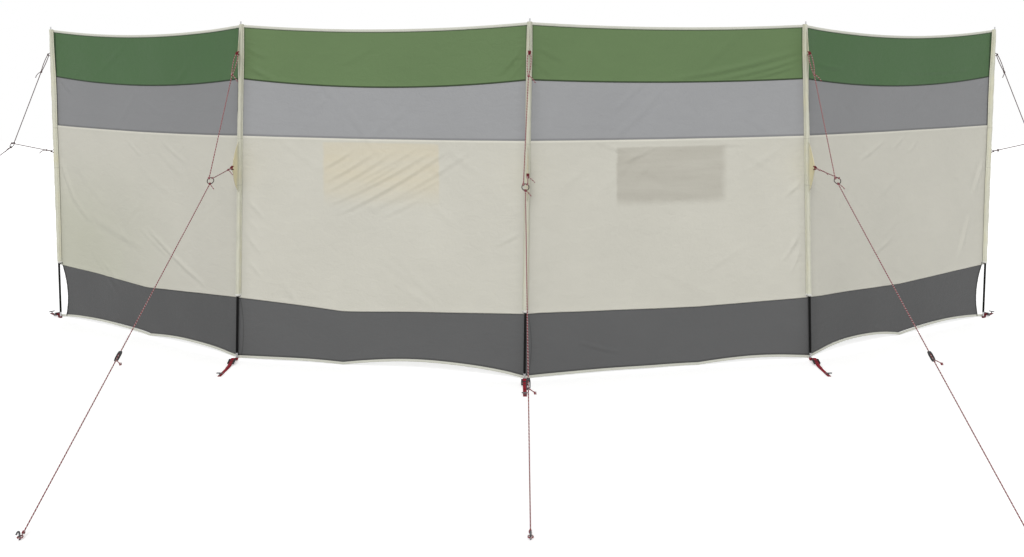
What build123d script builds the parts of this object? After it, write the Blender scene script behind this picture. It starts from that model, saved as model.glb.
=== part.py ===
"""Cloth windbreak of five poles and four bays, held upright by guy ropes.

Millimetres, +Z up. The origin is the flat foot of the middle pole at ground level. +X runs along the
windbreak to the right, -Y points to the side that the wall bulges to, where the sleeves and ropes are.
"""
from build123d import *
from math import cos, radians, sin, sqrt
import os

os.makedirs("parts", exist_ok=True)

# Overall layout
pole_height = 1450.0  # ground to the tip of the top pin
bay_width = 1265.0  # between neighbouring pole axes at the ground
inner_bay_angle = 12.4  # the two middle bays run back from the middle pole
outer_bay_angle = 32.0  # the two end bays run back more sharply
pole_leans = (-5.0, 45.0, 20.0, -50.0, 10.0)  # sideways lean of each pole's tip, left to right

# Poles
pole_diameter = 10.0
ferrule_height = 30.0
foot_pin_diameter = 7.0
foot_pin_height = 20.0
top_pin_diameter = 6.0
top_pin_length = 18.0

# Cloth levels at the poles, worked out from the poles' height; the beige band takes what is left
tip_clearance = 14.0  # the pins stand out above the cloth by this much
green_height = 222.0
grey_height = 254.0
beige_foot = 278.0
hem_clearance = 6.0  # bottom edge above the ground at the poles and creases
cloth_top = pole_height - tip_clearance
green_foot = cloth_top - green_height
grey_foot = green_foot - grey_height

# Cloth
binding_height = 11.0
cloth_thickness = 2.0
binding_thickness = 4.0
end_hem = 13.0  # cloth past the axis of an end pole
belly = 12.0  # the taut cloth bows backwards by this much in the middle of a bay

# How far each edge sags below its poles in the middle of a bay, left to right
top_sags = (34.0, 24.0, 15.0, 38.0)
green_sags = (38.0, 34.0, 13.0, 40.0)
grey_sags = (10.0, 5.0, 4.0, 4.0)
beige_sags = (36.0, 36.0, 16.0, 22.0)
crease_shares = (0.52, 0.38, 0.6, 0.5)  # where the skirt is creased in each bay
hem_rises = ((18.0, 18.0), (4.0, 34.0), (4.0, 14.0), (36.0, 18.0))  # arches left and right of the crease

# The free end edges of the skirt are cut hollow
end_edge_top = 12.0
end_edge_middle = 49.0
end_edge_foot = 33.0

# Sleeves
sleeve_width = 22.0
sleeve_sides = 9  # flats around a sleeve's front
sleeve_wall = 1.0
sleeve_clearance = 0.5
sleeve_gap = 2.0  # below the top binding, which sags away from the pole
# The ropes of the inner poles draw the sleeve's cloth out into a fin at the lower and the upper tab
sleeve_pulls = ((0.0, 0.0), (70.0, 22.0), (70.0, 22.0), (70.0, 22.0), (0.0, 0.0))
fin_height = 200.0
fin_thickness = 2.0

# Storage pockets on the back
pocket_thickness = 3.0
pocket_drop = 15.0  # below the foot of the grey band
pocket_height = 255.0
pocket_width = 490.0
pocket_corner = 25.0
pocket_starts = (400.0, 385.0)  # distance from the left pole of the second and third bay

# Guy ropes
cord_diameter = 4.0
guy_headings = (170.0, -95.0, -90.0, -86.0, 10.0)  # degrees from +X, away from each pole
guy_reaches = (1560.0, 1560.0, 1280.0, 1560.0, 1560.0)  # pole to peg along the ground
cord_sides = 6
ring_reach = 240.0
ring_rises = (27.0, -33.0, -23.0, -33.0, 27.0)  # height of each ring above the lower tabs
ring_diameter = 30.0
ring_wire = 3.5
ring_sides = 16
ring_tilt = 60.0
ring_knots = (35.0, -35.0)  # places on the ring of the lower and the upper leg's knot
knot_diameter = 9.0
knot_length = 11.0
knot_profile = ((-0.5, 0.55), (-0.2, 1.0), (0.2, 1.0), (0.5, 0.55))  # shares of knot length and radius
knot_seat = 0.9
upper_tab_drop = 121.0  # below the top of the cloth
lower_tab_drop = 122.0  # below the foot of the grey band
tab_width = 12.0
tab_height = 10.0
tab_thickness = 1.6
tab_reach = 12.0
tab_sink = 5.0
tab_chamfer = 3.5

# Sliders on the main lines
slider_shares = (0.6, 0.585, 0.635, 0.585, 0.6)  # of the way from each ring to its peg
slider_length = 41.0
slider_width = 14.0
slider_thickness = 7.0
slider_corner = 4.0
slider_window_length = 25.0
slider_window_width = 7.0
slider_window_shift = 3.0  # towards the peg, which leaves a strong head and a thin end bar

# Foot straps with ladder buckles
strap_headings = (136.0, -92.0, -90.0, -88.0, 44.0)
strap_reaches = (115.0, 215.0, 175.0, 215.0, 115.0)
strap_width = 15.0
strap_thickness = 2.0
strap_end = 10.0  # webbing past the pole at one end and past the peg at the other
strap_hole_clearance = 0.3
strap_crest = 20.0  # the stiff buckle lifts the webbing off the ground
crest_share = 0.12  # of the strap's reach
fall_share = 0.4
rise_start = 12.0
buckle_length = 32.0
buckle_width = 28.0
buckle_height = 5.0
buckle_bar = 4.0
buckle_clearance = 0.2

# Pegs
peg_diameter = 5.0
peg_sides = 6
peg_height = 20.0
peg_hook = ((5.0, 6.0), (11.0, 6.0), (15.0, 1.0))  # steps of the hook outwards and up from the shank's top
toggle_height = 12.0
toggle_length = 26.0
eye_radius = 7.0
eye_level = 7.0

# Derived values
pole_radius = pole_diameter / 2
knot_radius = knot_diameter / 2
cord_radius = cord_diameter / 2
peg_radius = peg_diameter / 2
cloth_seat = pole_radius + sleeve_clearance + sleeve_wall  # pole axis to the front of the cloth
bay_headings = (-outer_bay_angle, -inner_bay_angle, inner_bay_angle, outer_bay_angle)
bays = range(len(bay_headings))
poles = range(len(pole_leans))
last_pole = len(pole_leans) - 1
pole_top = pole_height - top_pin_length
pocket_top = grey_foot - pocket_drop
tab_levels = (grey_foot - lower_tab_drop, cloth_top - upper_tab_drop)
lower_tab_level = tab_levels[0]


def direction(angle):
    """Level unit vector at an angle from +X."""
    return Vector(cos(radians(angle)), sin(radians(angle)), 0)


def pole_foot(pole):
    """Ground point of a pole, counted outwards from the middle one at the origin."""
    middle = last_pole // 2
    foot = Vector(0, 0, 0)
    for bay in range(middle, pole):
        foot += direction(bay_headings[bay]) * bay_width
    for bay in range(pole, middle):
        foot -= direction(bay_headings[bay]) * bay_width
    return foot


def pole_point(pole, level):
    """Point on a leaning pole's axis at a level."""
    return pole_foot(pole) + Vector(pole_leans[pole] * level / pole_height, 0, level)


def side_headings(pole):
    """Headings of the bays left and right of a pole; an end pole has one bay."""
    left = bay_headings[max(pole - 1, 0)]
    right = bay_headings[min(pole, last_pole - 1)]
    return left, right


def cloth_corner(pole, level, depth):
    """Point where the two bays at a pole mitre, a distance behind the line of the pole axes."""
    left, right = side_headings(pole)
    middle = (left + right) / 2
    corner = pole_point(pole, level) + direction(middle + 90) * (depth / cos(radians((right - left) / 2)))
    if pole == 0:
        corner -= direction(left) * end_hem
    if pole == last_pole:
        corner += direction(right) * end_hem
    return corner


def flat(point):
    """Plan coordinates of a point."""
    return point.X, point.Y


def strip_face(bay, level, front, back):
    """Plan section of the cloth of one bay between two depths, bowed backwards."""
    near_left = cloth_corner(bay, level, front)
    near_right = cloth_corner(bay + 1, level, front)
    far_left = cloth_corner(bay, level, back)
    far_right = cloth_corner(bay + 1, level, back)
    bow = direction(bay_headings[bay] + 90) * belly
    with BuildSketch(Plane.XY.offset(level)) as section:
        with BuildLine():
            ThreePointArc(flat(near_left), flat((near_left + near_right) / 2 + bow), flat(near_right))
            Line(flat(near_right), flat(far_right))
            ThreePointArc(flat(far_right), flat((far_left + far_right) / 2 + bow), flat(far_left))
            Line(flat(far_left), flat(near_left))
        make_face()
    return section.sketch.faces()[0]


def loft_strip(bay, front, back):
    """Upright strip of one bay from the ground to the pole tips, before its edges are cut."""
    loft([strip_face(bay, level, front, back) for level in (0.0, pole_height)], ruled=True)


def bay_plane(bay):
    """Upright plane of a bay: x along the bay from its left pole, y up."""
    along = direction(bay_headings[bay])
    return Plane(origin=pole_foot(bay), x_dir=along, z_dir=along.cross(Vector(0, 0, 1)))


def pole_distance(bay, pole, level):
    """Distance along a bay at which a pole's axis stands at a level."""
    return (pole_point(pole, level) - pole_foot(bay)).dot(direction(bay_headings[bay]))


def edge_point(bay, share, level, height):
    """Point in a bay's plane at a share of the way between its poles, measured at a level."""
    left = pole_distance(bay, bay, level)
    right = pole_distance(bay, bay + 1, level)
    return left + share * (right - left), height


overrun = 0.06  # share of a bay by which the drawn edges run past its poles


def draw_sag(bay, level, sag):
    """Parabola that hangs from pole to pole: level - 4 sag s (1 - s), s the share of the bay."""
    drop = 4 * sag * overrun * (1 + overrun)
    control = level - 4 * sag * (0.5 + overrun * (1 + overrun))
    start = edge_point(bay, -overrun, level, level + drop)
    middle = edge_point(bay, 0.5, level, control)
    end = edge_point(bay, 1 + overrun, level, level + drop)
    Bezier(start, middle, end)
    return start, end


def draw_creased(bay, level, sag):
    """Two straight runs that meet at the crease of the bay."""
    share = crease_shares[bay]
    start = edge_point(bay, -overrun, level, level)
    left = edge_point(bay, 0, level, level)
    crease = edge_point(bay, share, level, level - sag)
    right = edge_point(bay, 1, level, level)
    end = edge_point(bay, 1 + overrun, level, level)
    Polyline(start, left, crease, right, end)
    return start, end


def draw_hem(bay, level):
    """Two shallow arches, from each pole to the crease, that lift the hem off the ground."""
    share = crease_shares[bay]
    rises = hem_rises[bay]
    start = edge_point(bay, -overrun, level, level)
    left = edge_point(bay, 0, level, level)
    left_arch = edge_point(bay, share / 2, level, level + rises[0])
    crease = edge_point(bay, share, level, level)
    right_arch = edge_point(bay, (1 + share) / 2, level, level + rises[1])
    right = edge_point(bay, 1, level, level)
    end = edge_point(bay, 1 + overrun, level, level)
    Line(start, left)
    ThreePointArc(left, left_arch, crease)
    ThreePointArc(crease, right_arch, right)
    Line(right, end)
    return start, end


def face_between(bay, lower, upper):
    """Face in a bay's plane between two edges, each drawn by a function that is given the bay."""
    with BuildSketch(bay_plane(bay)) as section:
        with BuildLine():
            lower_left, lower_right = lower(bay)
            upper_left, upper_right = upper(bay)
            Line(lower_left, upper_left)
            Line(lower_right, upper_right)
        make_face()
    return section.sketch.faces()[0]


def top_edge(bay):
    return draw_sag(bay, cloth_top, top_sags[bay])


def binding_edge(bay):
    return draw_sag(bay, cloth_top - binding_height, top_sags[bay])


def green_edge(bay):
    return draw_sag(bay, green_foot, green_sags[bay])


def grey_edge(bay):
    return draw_sag(bay, grey_foot, grey_sags[bay])


def beige_edge(bay):
    return draw_creased(bay, beige_foot, beige_sags[bay])


def skirt_edge(bay):
    return draw_hem(bay, hem_clearance + binding_height)


def bottom_edge(bay):
    return draw_hem(bay, hem_clearance)


def make_band(bay, lower, upper, extra):
    """Cloth of one bay between two edges; extra is how much it is thicker than the cloth."""
    loft_strip(bay, cloth_seat - extra / 2, cloth_seat + cloth_thickness + extra / 2)
    extrude(face_between(bay, lower, upper), amount=pole_height / 4, both=True, mode=Mode.INTERSECT)


def cut_end_edge(bay, pole, side):
    """Hollow free edge of the skirt beside an end pole."""
    middle_level = beige_foot / 2
    axis = pole_distance(bay, pole, middle_level)
    with BuildSketch(bay_plane(bay)) as hollow:
        with BuildLine():
            top = (axis + side * end_edge_top, beige_foot + 1)
            foot = (axis + side * end_edge_foot, hem_clearance + binding_height)
            ThreePointArc(top, (axis + side * end_edge_middle, middle_level), foot)
            Polyline(foot, (axis - side * sleeve_width * 2, hem_clearance + binding_height),
                     (axis - side * sleeve_width * 2, beige_foot + 1), top)
        make_face()
    extrude(hollow.sketch.faces()[0], amount=pole_height / 4, both=True, mode=Mode.SUBTRACT)


# Cloth bands, bay by bay
bands = (
    ("green_band", green_edge, binding_edge),
    ("grey_band", grey_edge, green_edge),
    ("beige_band", beige_edge, grey_edge),
    ("skirt", skirt_edge, beige_edge),
)
for bay in bays:
    for band_name, lower, upper in bands:
        with BuildPart() as band:
            make_band(bay, lower, upper, 0)
            if band_name == "skirt" and bay == 0:
                cut_end_edge(bay, bay, 1)
            if band_name == "skirt" and bay == last_pole - 1:
                cut_end_edge(bay, bay + 1, -1)
        band.part.label = f"{band_name}_{bay + 1}"
        export_step(band.part, f"parts/{band_name}_{bay + 1}.step")

# Binding tapes along the whole top and bottom edge
bindings = (
    ("top_binding", binding_edge, top_edge),
    ("bottom_binding", bottom_edge, skirt_edge),
)
for binding_name, lower, upper in bindings:
    tapes = []
    for bay in bays:
        with BuildPart() as tape:
            make_band(bay, lower, upper, binding_thickness - cloth_thickness)
        tapes.append(tape.part)
    with BuildPart() as binding:
        for tape_part in tapes:
            add(tape_part)
    binding.part.label = binding_name
    export_step(binding.part, f"parts/{binding_name}.step")

# Storage pockets sewn to the back of the beige cloth
pocket_names = ("storage_pocket_left", "storage_pocket_right")
for pocket_name, bay, start in zip(pocket_names, (1, 2), pocket_starts):
    with BuildPart() as pocket:
        cloth_back = cloth_seat + cloth_thickness
        loft_strip(bay, cloth_back, cloth_back + pocket_thickness)
        with BuildSketch(bay_plane(bay)):
            with Locations((start + pocket_width / 2, pocket_top - pocket_height / 2)):
                RectangleRounded(pocket_width, pocket_height, pocket_corner)
        extrude(amount=pole_height / 4, both=True, mode=Mode.INTERSECT)
    pocket.part.label = pocket_name
    export_step(pocket.part, f"parts/{pocket_name}.step")


def pole_plane(pole):
    """Plane square to a leaning pole with its origin on the pole's axis at the ground."""
    axis = pole_point(pole, pole_height) - pole_foot(pole)
    return Plane(origin=pole_foot(pole), x_dir=(1, 0, 0), z_dir=axis)


# Black poles, between their foot ferrule and their top pin
for pole in poles:
    with BuildPart() as rod:
        with BuildSketch(pole_plane(pole).offset(ferrule_height)):
            Circle(pole_radius)
        extrude(amount=pole_top - ferrule_height)
    rod.part.label = f"pole_{pole + 1}"
    export_step(rod.part, f"parts/pole_{pole + 1}.step")

# Steel foot ferrules: a taper and a pin that ends flat on the ground
pin_radius = foot_pin_diameter / 2
with BuildPart() as ferrules:
    for pole in poles:
        plane = pole_plane(pole)
        with BuildSketch(Plane(origin=plane.origin, x_dir=plane.x_dir, z_dir=plane.x_dir.cross(plane.z_dir))):
            with BuildLine():
                Polyline(
                    (0, -pin_radius),
                    (pin_radius, -pin_radius),
                    (pin_radius, foot_pin_height),
                    (pole_radius, ferrule_height),
                    (0, ferrule_height),
                    close=True,
                )
            make_face()
        revolve(axis=Axis(plane.origin, plane.z_dir))
    split(bisect_by=Plane.XY, keep=Keep.TOP)
ferrules.part.label = "foot_ferrules"
export_step(ferrules.part, "parts/foot_ferrules.step")

# Thin steel pins at the pole tops
with BuildPart() as top_pins:
    for pole in poles:
        with BuildSketch(pole_plane(pole).offset(pole_top)):
            Circle(top_pin_diameter / 2)
        extrude(amount=top_pin_length)
top_pins.part.label = "top_pins"
export_step(top_pins.part, "parts/top_pins.step")


def sleeve_points(pole, level):
    """Plan points of a sleeve: wing tips on the cloth, mitre between them and the front of the bulge."""
    left, right = side_headings(pole)
    axis = pole_point(pole, level)
    left_wing = axis + direction(left + 90) * cloth_seat - direction(left) * (sleeve_width / 2)
    right_wing = axis + direction(right + 90) * cloth_seat + direction(right) * (sleeve_width / 2)
    middle = (left + right) / 2
    mitre = axis + direction(middle + 90) * (cloth_seat / cos(radians((right - left) / 2)))
    front = axis - direction(middle + 90) * cloth_seat
    return left_wing, mitre, right_wing, front


def sleeve_face(pole, level, inset):
    """Half-round plan section that closes on the cloth behind the pole, moved in by an inset."""
    left_wing, mitre, right_wing, front = sleeve_points(pole, level)
    with BuildLine(mode=Mode.PRIVATE):
        front_round = ThreePointArc(flat(right_wing), flat(front), flat(left_wing))
    with BuildSketch(Plane.XY.offset(level)) as section:
        with BuildLine():
            Line(flat(left_wing), flat(mitre))
            Line(flat(mitre), flat(right_wing))
            Polyline([front_round @ (side / sleeve_sides) for side in range(sleeve_sides + 1)])
        make_face()
        if inset:
            offset(amount=-inset, kind=Kind.INTERSECTION, mode=Mode.REPLACE)
    return section.sketch.faces()[0]


def guy_point(pole, reach, level):
    """Point in the upright plane of a guy rope, a reach out from the pole's foot."""
    return pole_foot(pole) + direction(guy_headings[pole]) * reach + Vector(0, 0, level)


def tab_point(pole, level, reach):
    """Point straight out from a leaning pole's axis in the direction of its guy rope."""
    return pole_point(pole, level) + direction(guy_headings[pole]) * reach


# The round of a sleeve's front
sleeve_bow = sleeve_width ** 2 / (16 * cloth_seat)  # pole axis to the centre of the sleeve's round
sleeve_round = cloth_seat + sleeve_bow


def sleeve_reach(pole):
    """Distance from the pole's axis to the sleeve's surface in the direction of the guy rope."""
    left, right = side_headings(pole)
    turn = radians(guy_headings[pole] - (left + right) / 2 - 90)
    return sleeve_bow * cos(turn) + sqrt(sleeve_round ** 2 - (sleeve_bow * sin(turn)) ** 2)


def draw_fins(pole):
    """Fins of cloth between a sleeve and the guy tabs that draw it out."""
    out = direction(guy_headings[pole])
    axis = pole_point(pole, pole_height) - pole_foot(pole)
    for level, pull in zip(tab_levels, sleeve_pulls[pole]):
        if pull:
            start = tab_point(pole, level, sleeve_reach(pole))
            with BuildSketch(Plane(origin=start, x_dir=out, z_dir=out.cross(axis))) as fin:
                Polygon(
                    (-tab_sink, -fin_height / 2),
                    (0, -fin_height / 2),
                    (pull, -tab_height / 2),
                    (pull, tab_height / 2),
                    (0, fin_height / 2),
                    (-tab_sink, fin_height / 2),
                    align=None,
                )
            extrude(fin.sketch.faces()[0], amount=fin_thickness / 2, both=True)


# Pole sleeves, from the top binding to the foot of the beige band
sleeve_top = cloth_top - binding_height - sleeve_gap
sleeve_cores = []
for pole in poles:
    with BuildPart() as sleeve_core:
        loft([sleeve_face(pole, level, 0) for level in (beige_foot, sleeve_top)], ruled=True)
        draw_fins(pole)
    sleeve_cores.append(sleeve_core.part)
    with BuildPart() as sleeve:
        add(sleeve_core.part)
        bore = [sleeve_face(pole, level, sleeve_wall) for level in (beige_foot - 1, sleeve_top + 1)]
        loft(bore, ruled=True, mode=Mode.SUBTRACT)
    sleeve.part.label = f"pole_sleeve_{pole + 1}"
    export_step(sleeve.part, f"parts/pole_sleeve_{pole + 1}.step")


def ring_centre(pole):
    """Centre of the ring where the legs of a guy rope meet its main line."""
    return guy_point(pole, ring_reach, lower_tab_level + ring_rises[pole])


def ring_point(pole, angle):
    """Point on the wire's middle line of a ring; 0 is the top, 180 the bottom."""
    down = direction(guy_headings[pole]) * cos(radians(ring_tilt)) - Vector(0, 0, sin(radians(ring_tilt)))
    side = direction(guy_headings[pole] + 90)
    radius = (ring_diameter - ring_wire) / 2
    return ring_centre(pole) - down * (radius * cos(radians(angle))) + side * (radius * sin(radians(angle)))


def ring_plane(pole):
    """Plane of a ring: z is the ring's axis."""
    centre = ring_centre(pole)
    side = direction(guy_headings[pole] + 90)
    return Plane(origin=centre, x_dir=side, z_dir=(ring_point(pole, 0) - centre).cross(side))


def draw_rod(start, end, radius, sides):
    """Many-sided rod between two points."""
    with BuildSketch(Plane(origin=start, z_dir=end - start)) as section:
        RegularPolygon(radius, sides)
    extrude(section.sketch.faces()[0], amount=(end - start).length)


def draw_knot(centre, along):
    """Barrel-shaped knot on a cord that runs in a direction."""
    axis = along.normalized()
    sections = []
    for length_share, radius_share in knot_profile:
        with BuildSketch(Plane(origin=centre + axis * (length_share * knot_length), z_dir=axis)) as section:
            RegularPolygon(radius_share * knot_radius, cord_sides)
        sections.append(section.sketch.faces()[0])
    loft(sections, ruled=True)


# Guy rings
with BuildPart() as rings:
    for pole in poles:
        with BuildSketch(ring_plane(pole)):
            RegularPolygon(ring_diameter / 2, ring_sides)
            RegularPolygon(ring_diameter / 2 - ring_wire, ring_sides, mode=Mode.SUBTRACT)
        extrude(amount=ring_wire / 2, both=True)
rings.part.label = "guy_rings"
export_step(rings.part, "parts/guy_rings.step")

# Guy tabs: webbing loops sewn to the front of each sleeve, their ends shaped to it
def tab_corners(inset):
    """Corners of the side view of a tab's loop, which is open towards the sleeve."""
    tip = tab_reach - inset
    half = tab_height / 2 - inset
    corner = tab_chamfer - inset / 2
    return [
        (-tab_sink, -half),
        (tip - corner, -half),
        (tip, corner - half),
        (tip, half - corner),
        (tip - corner, half),
        (-tab_sink, half),
    ]


with BuildPart() as tabs:
    for pole in poles:
        out = direction(guy_headings[pole])
        for level, pull in zip(tab_levels, sleeve_pulls[pole]):
            start = tab_point(pole, level, sleeve_reach(pole) + pull)
            with BuildSketch(Plane(origin=start, x_dir=out, z_dir=direction(guy_headings[pole] + 90))):
                Polygon(*tab_corners(0), align=None)
                Polygon(*tab_corners(tab_thickness), align=None, mode=Mode.SUBTRACT)
            extrude(amount=tab_width / 2, both=True)
    for sleeve_core in sleeve_cores:
        add(sleeve_core, mode=Mode.SUBTRACT)
tabs.part.label = "guy_tabs"
export_step(tabs.part, "parts/guy_tabs.step")

# Guy ropes: an upper and a lower leg tied to the tabs and the ring, and a main line from ring to peg
eye_shift = eye_radius - cord_radius - peg_radius  # the eye is pulled against the far side of the peg


def leg_knot(pole, level, pull):
    """Centre of the knot that seats on the outer end of a tab."""
    return tab_point(pole, level, sleeve_reach(pole) + pull + tab_reach + knot_length / 2 - knot_seat)


def main_line(pole):
    """Ends of the main line's middle line: at the foot of the ring and at the eye round the peg."""
    return ring_point(pole, 180), guy_point(pole, guy_reaches[pole] - eye_shift - eye_radius, eye_level)


for pole in poles:
    out = direction(guy_headings[pole])
    with BuildPart() as rope:
        for level, pull, angle in zip(tab_levels, sleeve_pulls[pole], ring_knots):
            start = leg_knot(pole, level, pull)
            end = ring_point(pole, angle)
            draw_rod(start, end, cord_radius, cord_sides)
            draw_knot(start, end - start)
            draw_knot(end, end - start)
        start, end = main_line(pole)
        draw_rod(start, end, cord_radius, cord_sides)
        draw_knot(start, end - start)
        eye_centre = guy_point(pole, guy_reaches[pole] - eye_shift, eye_level)
        with BuildSketch(Plane(origin=eye_centre, x_dir=out, z_dir=(0, 0, 1))):
            RegularPolygon(eye_radius + cord_radius, peg_sides, major_radius=False, rotation=180 / peg_sides)
            RegularPolygon(eye_radius - cord_radius, peg_sides, major_radius=False, rotation=180 / peg_sides,
                           mode=Mode.SUBTRACT)
        extrude(amount=cord_radius, both=True)
        add(rings.part, mode=Mode.SUBTRACT)
        add(tabs.part, mode=Mode.SUBTRACT)
    rope.part.label = f"guy_rope_{pole + 1}"
    export_step(rope.part, f"parts/guy_rope_{pole + 1}.step")


def slider_corners():
    """Plan outline of a slider, with its corners cut off."""
    end = slider_length / 2
    half = slider_width / 2
    return [
        (end - slider_corner, -half),
        (end, slider_corner - half),
        (end, half - slider_corner),
        (end - slider_corner, half),
        (slider_corner - end, half),
        (-end, half - slider_corner),
        (-end, slider_corner - half),
        (slider_corner - end, -half),
    ]


# Sliders: moulded bars that grip the main lines; the cord enters the head, crosses the window and
# leaves through the end bar
with BuildPart() as sliders:
    for pole in poles:
        start, end = main_line(pole)
        side = direction(guy_headings[pole] + 90)
        centre = start + (end - start) * slider_shares[pole]
        with BuildSketch(Plane(origin=centre, x_dir=end - start, z_dir=side.cross(end - start))):
            Polygon(*slider_corners(), align=None)
            with Locations((slider_window_shift, 0)):
                Rectangle(slider_window_length, slider_window_width, mode=Mode.SUBTRACT)
        extrude(amount=slider_thickness / 2, both=True)
        with BuildSketch(Plane(origin=start, z_dir=end - start)):
            RegularPolygon(cord_radius, cord_sides)
        extrude(amount=(end - start).length, mode=Mode.SUBTRACT)
sliders.part.label = "guy_sliders"
export_step(sliders.part, "parts/guy_sliders.step")


def strap_top(pole):
    """Side view of a strap's upper surface: distance out from the pole and height."""
    reach = strap_reaches[pole]
    crest = reach * crest_share + rise_start
    fall = reach * fall_share + rise_start
    return [
        (-strap_end, strap_thickness),
        (rise_start, strap_thickness),
        (crest, strap_crest + strap_thickness),
        (fall, strap_thickness),
        (reach + strap_end, strap_thickness),
    ]


# Foot straps: webbing from each foot pin over a crest, down through its buckle and out to a peg
with BuildPart() as straps:
    for pole in poles:
        out = direction(strap_headings[pole])
        upper = strap_top(pole)
        lower = [(reach, height - strap_thickness) for reach, height in reversed(upper)]
        with BuildSketch(Plane(origin=pole_foot(pole), x_dir=out, z_dir=out.cross(Vector(0, 0, 1)))):
            Polygon(*upper, *lower, align=None)
        extrude(amount=strap_width / 2, both=True)
        with BuildSketch(Plane(origin=pole_foot(pole), x_dir=out, z_dir=(0, 0, 1))):
            RegularPolygon(pin_radius + strap_hole_clearance, peg_sides, major_radius=False)
            with Locations((strap_reaches[pole], 0)):
                RegularPolygon(peg_radius + strap_hole_clearance, peg_sides, major_radius=False)
        extrude(amount=strap_thickness, mode=Mode.SUBTRACT)
straps.part.label = "foot_straps"
export_step(straps.part, "parts/foot_straps.step")

# Ladder buckles: side rails beside the falling webbing, joined by three bars over it
with BuildPart() as buckles:
    for pole in poles:
        out = direction(strap_headings[pole])
        crest, fall = strap_top(pole)[2:4]
        slope = out * (fall[0] - crest[0]) + Vector(0, 0, fall[1] - crest[1])
        middle = pole_foot(pole) + out * ((crest[0] + fall[0]) / 2) + Vector(0, 0, (crest[1] + fall[1]) / 2)
        seat = Plane(origin=middle, x_dir=slope, z_dir=out.cross(Vector(0, 0, 1)).cross(slope))
        with BuildSketch(seat):
            Rectangle(buckle_length, buckle_width)
            window_length = (buckle_length - buckle_bar * 3) / 2
            with GridLocations(window_length + buckle_bar, 0, 2, 1):
                Rectangle(window_length, strap_width, mode=Mode.SUBTRACT)
        extrude(amount=buckle_height)
        with BuildSketch(seat):
            Rectangle(buckle_length, buckle_width)
            Rectangle(buckle_length, strap_width + 2 * buckle_clearance, mode=Mode.SUBTRACT)
        extrude(amount=-strap_thickness)
buckles.part.label = "strap_buckles"
export_step(buckles.part, "parts/strap_buckles.step")

# Pegs: hooked shanks that hold the guy ropes, and shanks with a toggle bar that hold the straps
with BuildPart() as pegs:
    for pole in poles:
        out = direction(guy_headings[pole])
        spot = guy_point(pole, guy_reaches[pole], 0)
        hook = [(step_out, peg_height + step_up) for step_out, step_up in peg_hook]
        with BuildLine(Plane(origin=spot, x_dir=out, z_dir=out.cross(Vector(0, 0, 1)))) as shank:
            Polyline((0, 0), (0, peg_height), *hook)
        with BuildSketch(Plane(origin=spot, x_dir=out, z_dir=(0, 0, 1))):
            RegularPolygon(peg_radius, peg_sides, major_radius=False, rotation=180 / peg_sides)
        sweep(path=shank.wires()[0], transition=Transition.RIGHT)
    for pole in poles:
        spot = pole_foot(pole) + direction(strap_headings[pole]) * strap_reaches[pole]
        across = direction(strap_headings[pole] + 90) * (toggle_length / 2)
        head = spot + Vector(0, 0, toggle_height)
        draw_rod(spot, head, peg_radius, peg_sides)
        draw_rod(head - across, head + across, peg_radius, peg_sides)
pegs.part.label = "ground_pegs"
export_step(pegs.part, "parts/ground_pegs.step")
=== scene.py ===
"""Looks of a cloth windbreak with five poles and four bays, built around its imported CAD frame.

Metres, +Z up, with the viewer towards -Y. Cloth, tapes, ropes and fittings are surfaces worked out as
whole arrays. The poles, their ferrules and their top pins are the CAD nodes with finished materials.
"""
from math import cos, pi, radians, sin

import bmesh
import bpy
import numpy as np
from bpy.props import FloatProperty, FloatVectorProperty, PointerProperty
from bpy.types import Operator, Panel, PropertyGroup
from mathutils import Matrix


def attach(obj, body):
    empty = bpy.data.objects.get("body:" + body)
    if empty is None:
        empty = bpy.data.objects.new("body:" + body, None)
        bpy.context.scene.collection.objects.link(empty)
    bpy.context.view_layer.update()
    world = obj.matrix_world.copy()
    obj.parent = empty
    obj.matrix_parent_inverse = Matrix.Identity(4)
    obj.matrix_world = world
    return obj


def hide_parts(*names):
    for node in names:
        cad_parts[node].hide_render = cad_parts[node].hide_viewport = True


bl_info = {
    "name": "Cloth windbreak",
    "version": (1, 0, 0),
    "blender": (4, 5, 0),
    "location": "View3D > Sidebar > Windbreak",
    "description": "Dresses the CAD frame of a five-pole windbreak with cloth, ropes and fittings",
    "category": "Object",
}

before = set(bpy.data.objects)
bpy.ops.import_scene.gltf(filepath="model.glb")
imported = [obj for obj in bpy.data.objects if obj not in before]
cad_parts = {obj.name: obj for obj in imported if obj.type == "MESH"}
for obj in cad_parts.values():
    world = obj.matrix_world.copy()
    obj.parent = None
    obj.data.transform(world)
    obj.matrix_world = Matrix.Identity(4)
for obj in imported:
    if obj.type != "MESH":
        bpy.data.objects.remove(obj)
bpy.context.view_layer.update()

# Layout, as in the part's source
POLE_HEIGHT = 1.450
BAY_WIDTH = 1.265
BAY_HEADINGS = (-32.0, -12.4, 12.4, 32.0)
POLE_LEANS = (-0.005, 0.045, 0.020, -0.050, 0.010)
BAYS = range(4)
POLES = range(5)
LAST_POLE = 4
END_BAYS = (0, LAST_POLE - 1)
END_POLES = (0, LAST_POLE)

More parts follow.
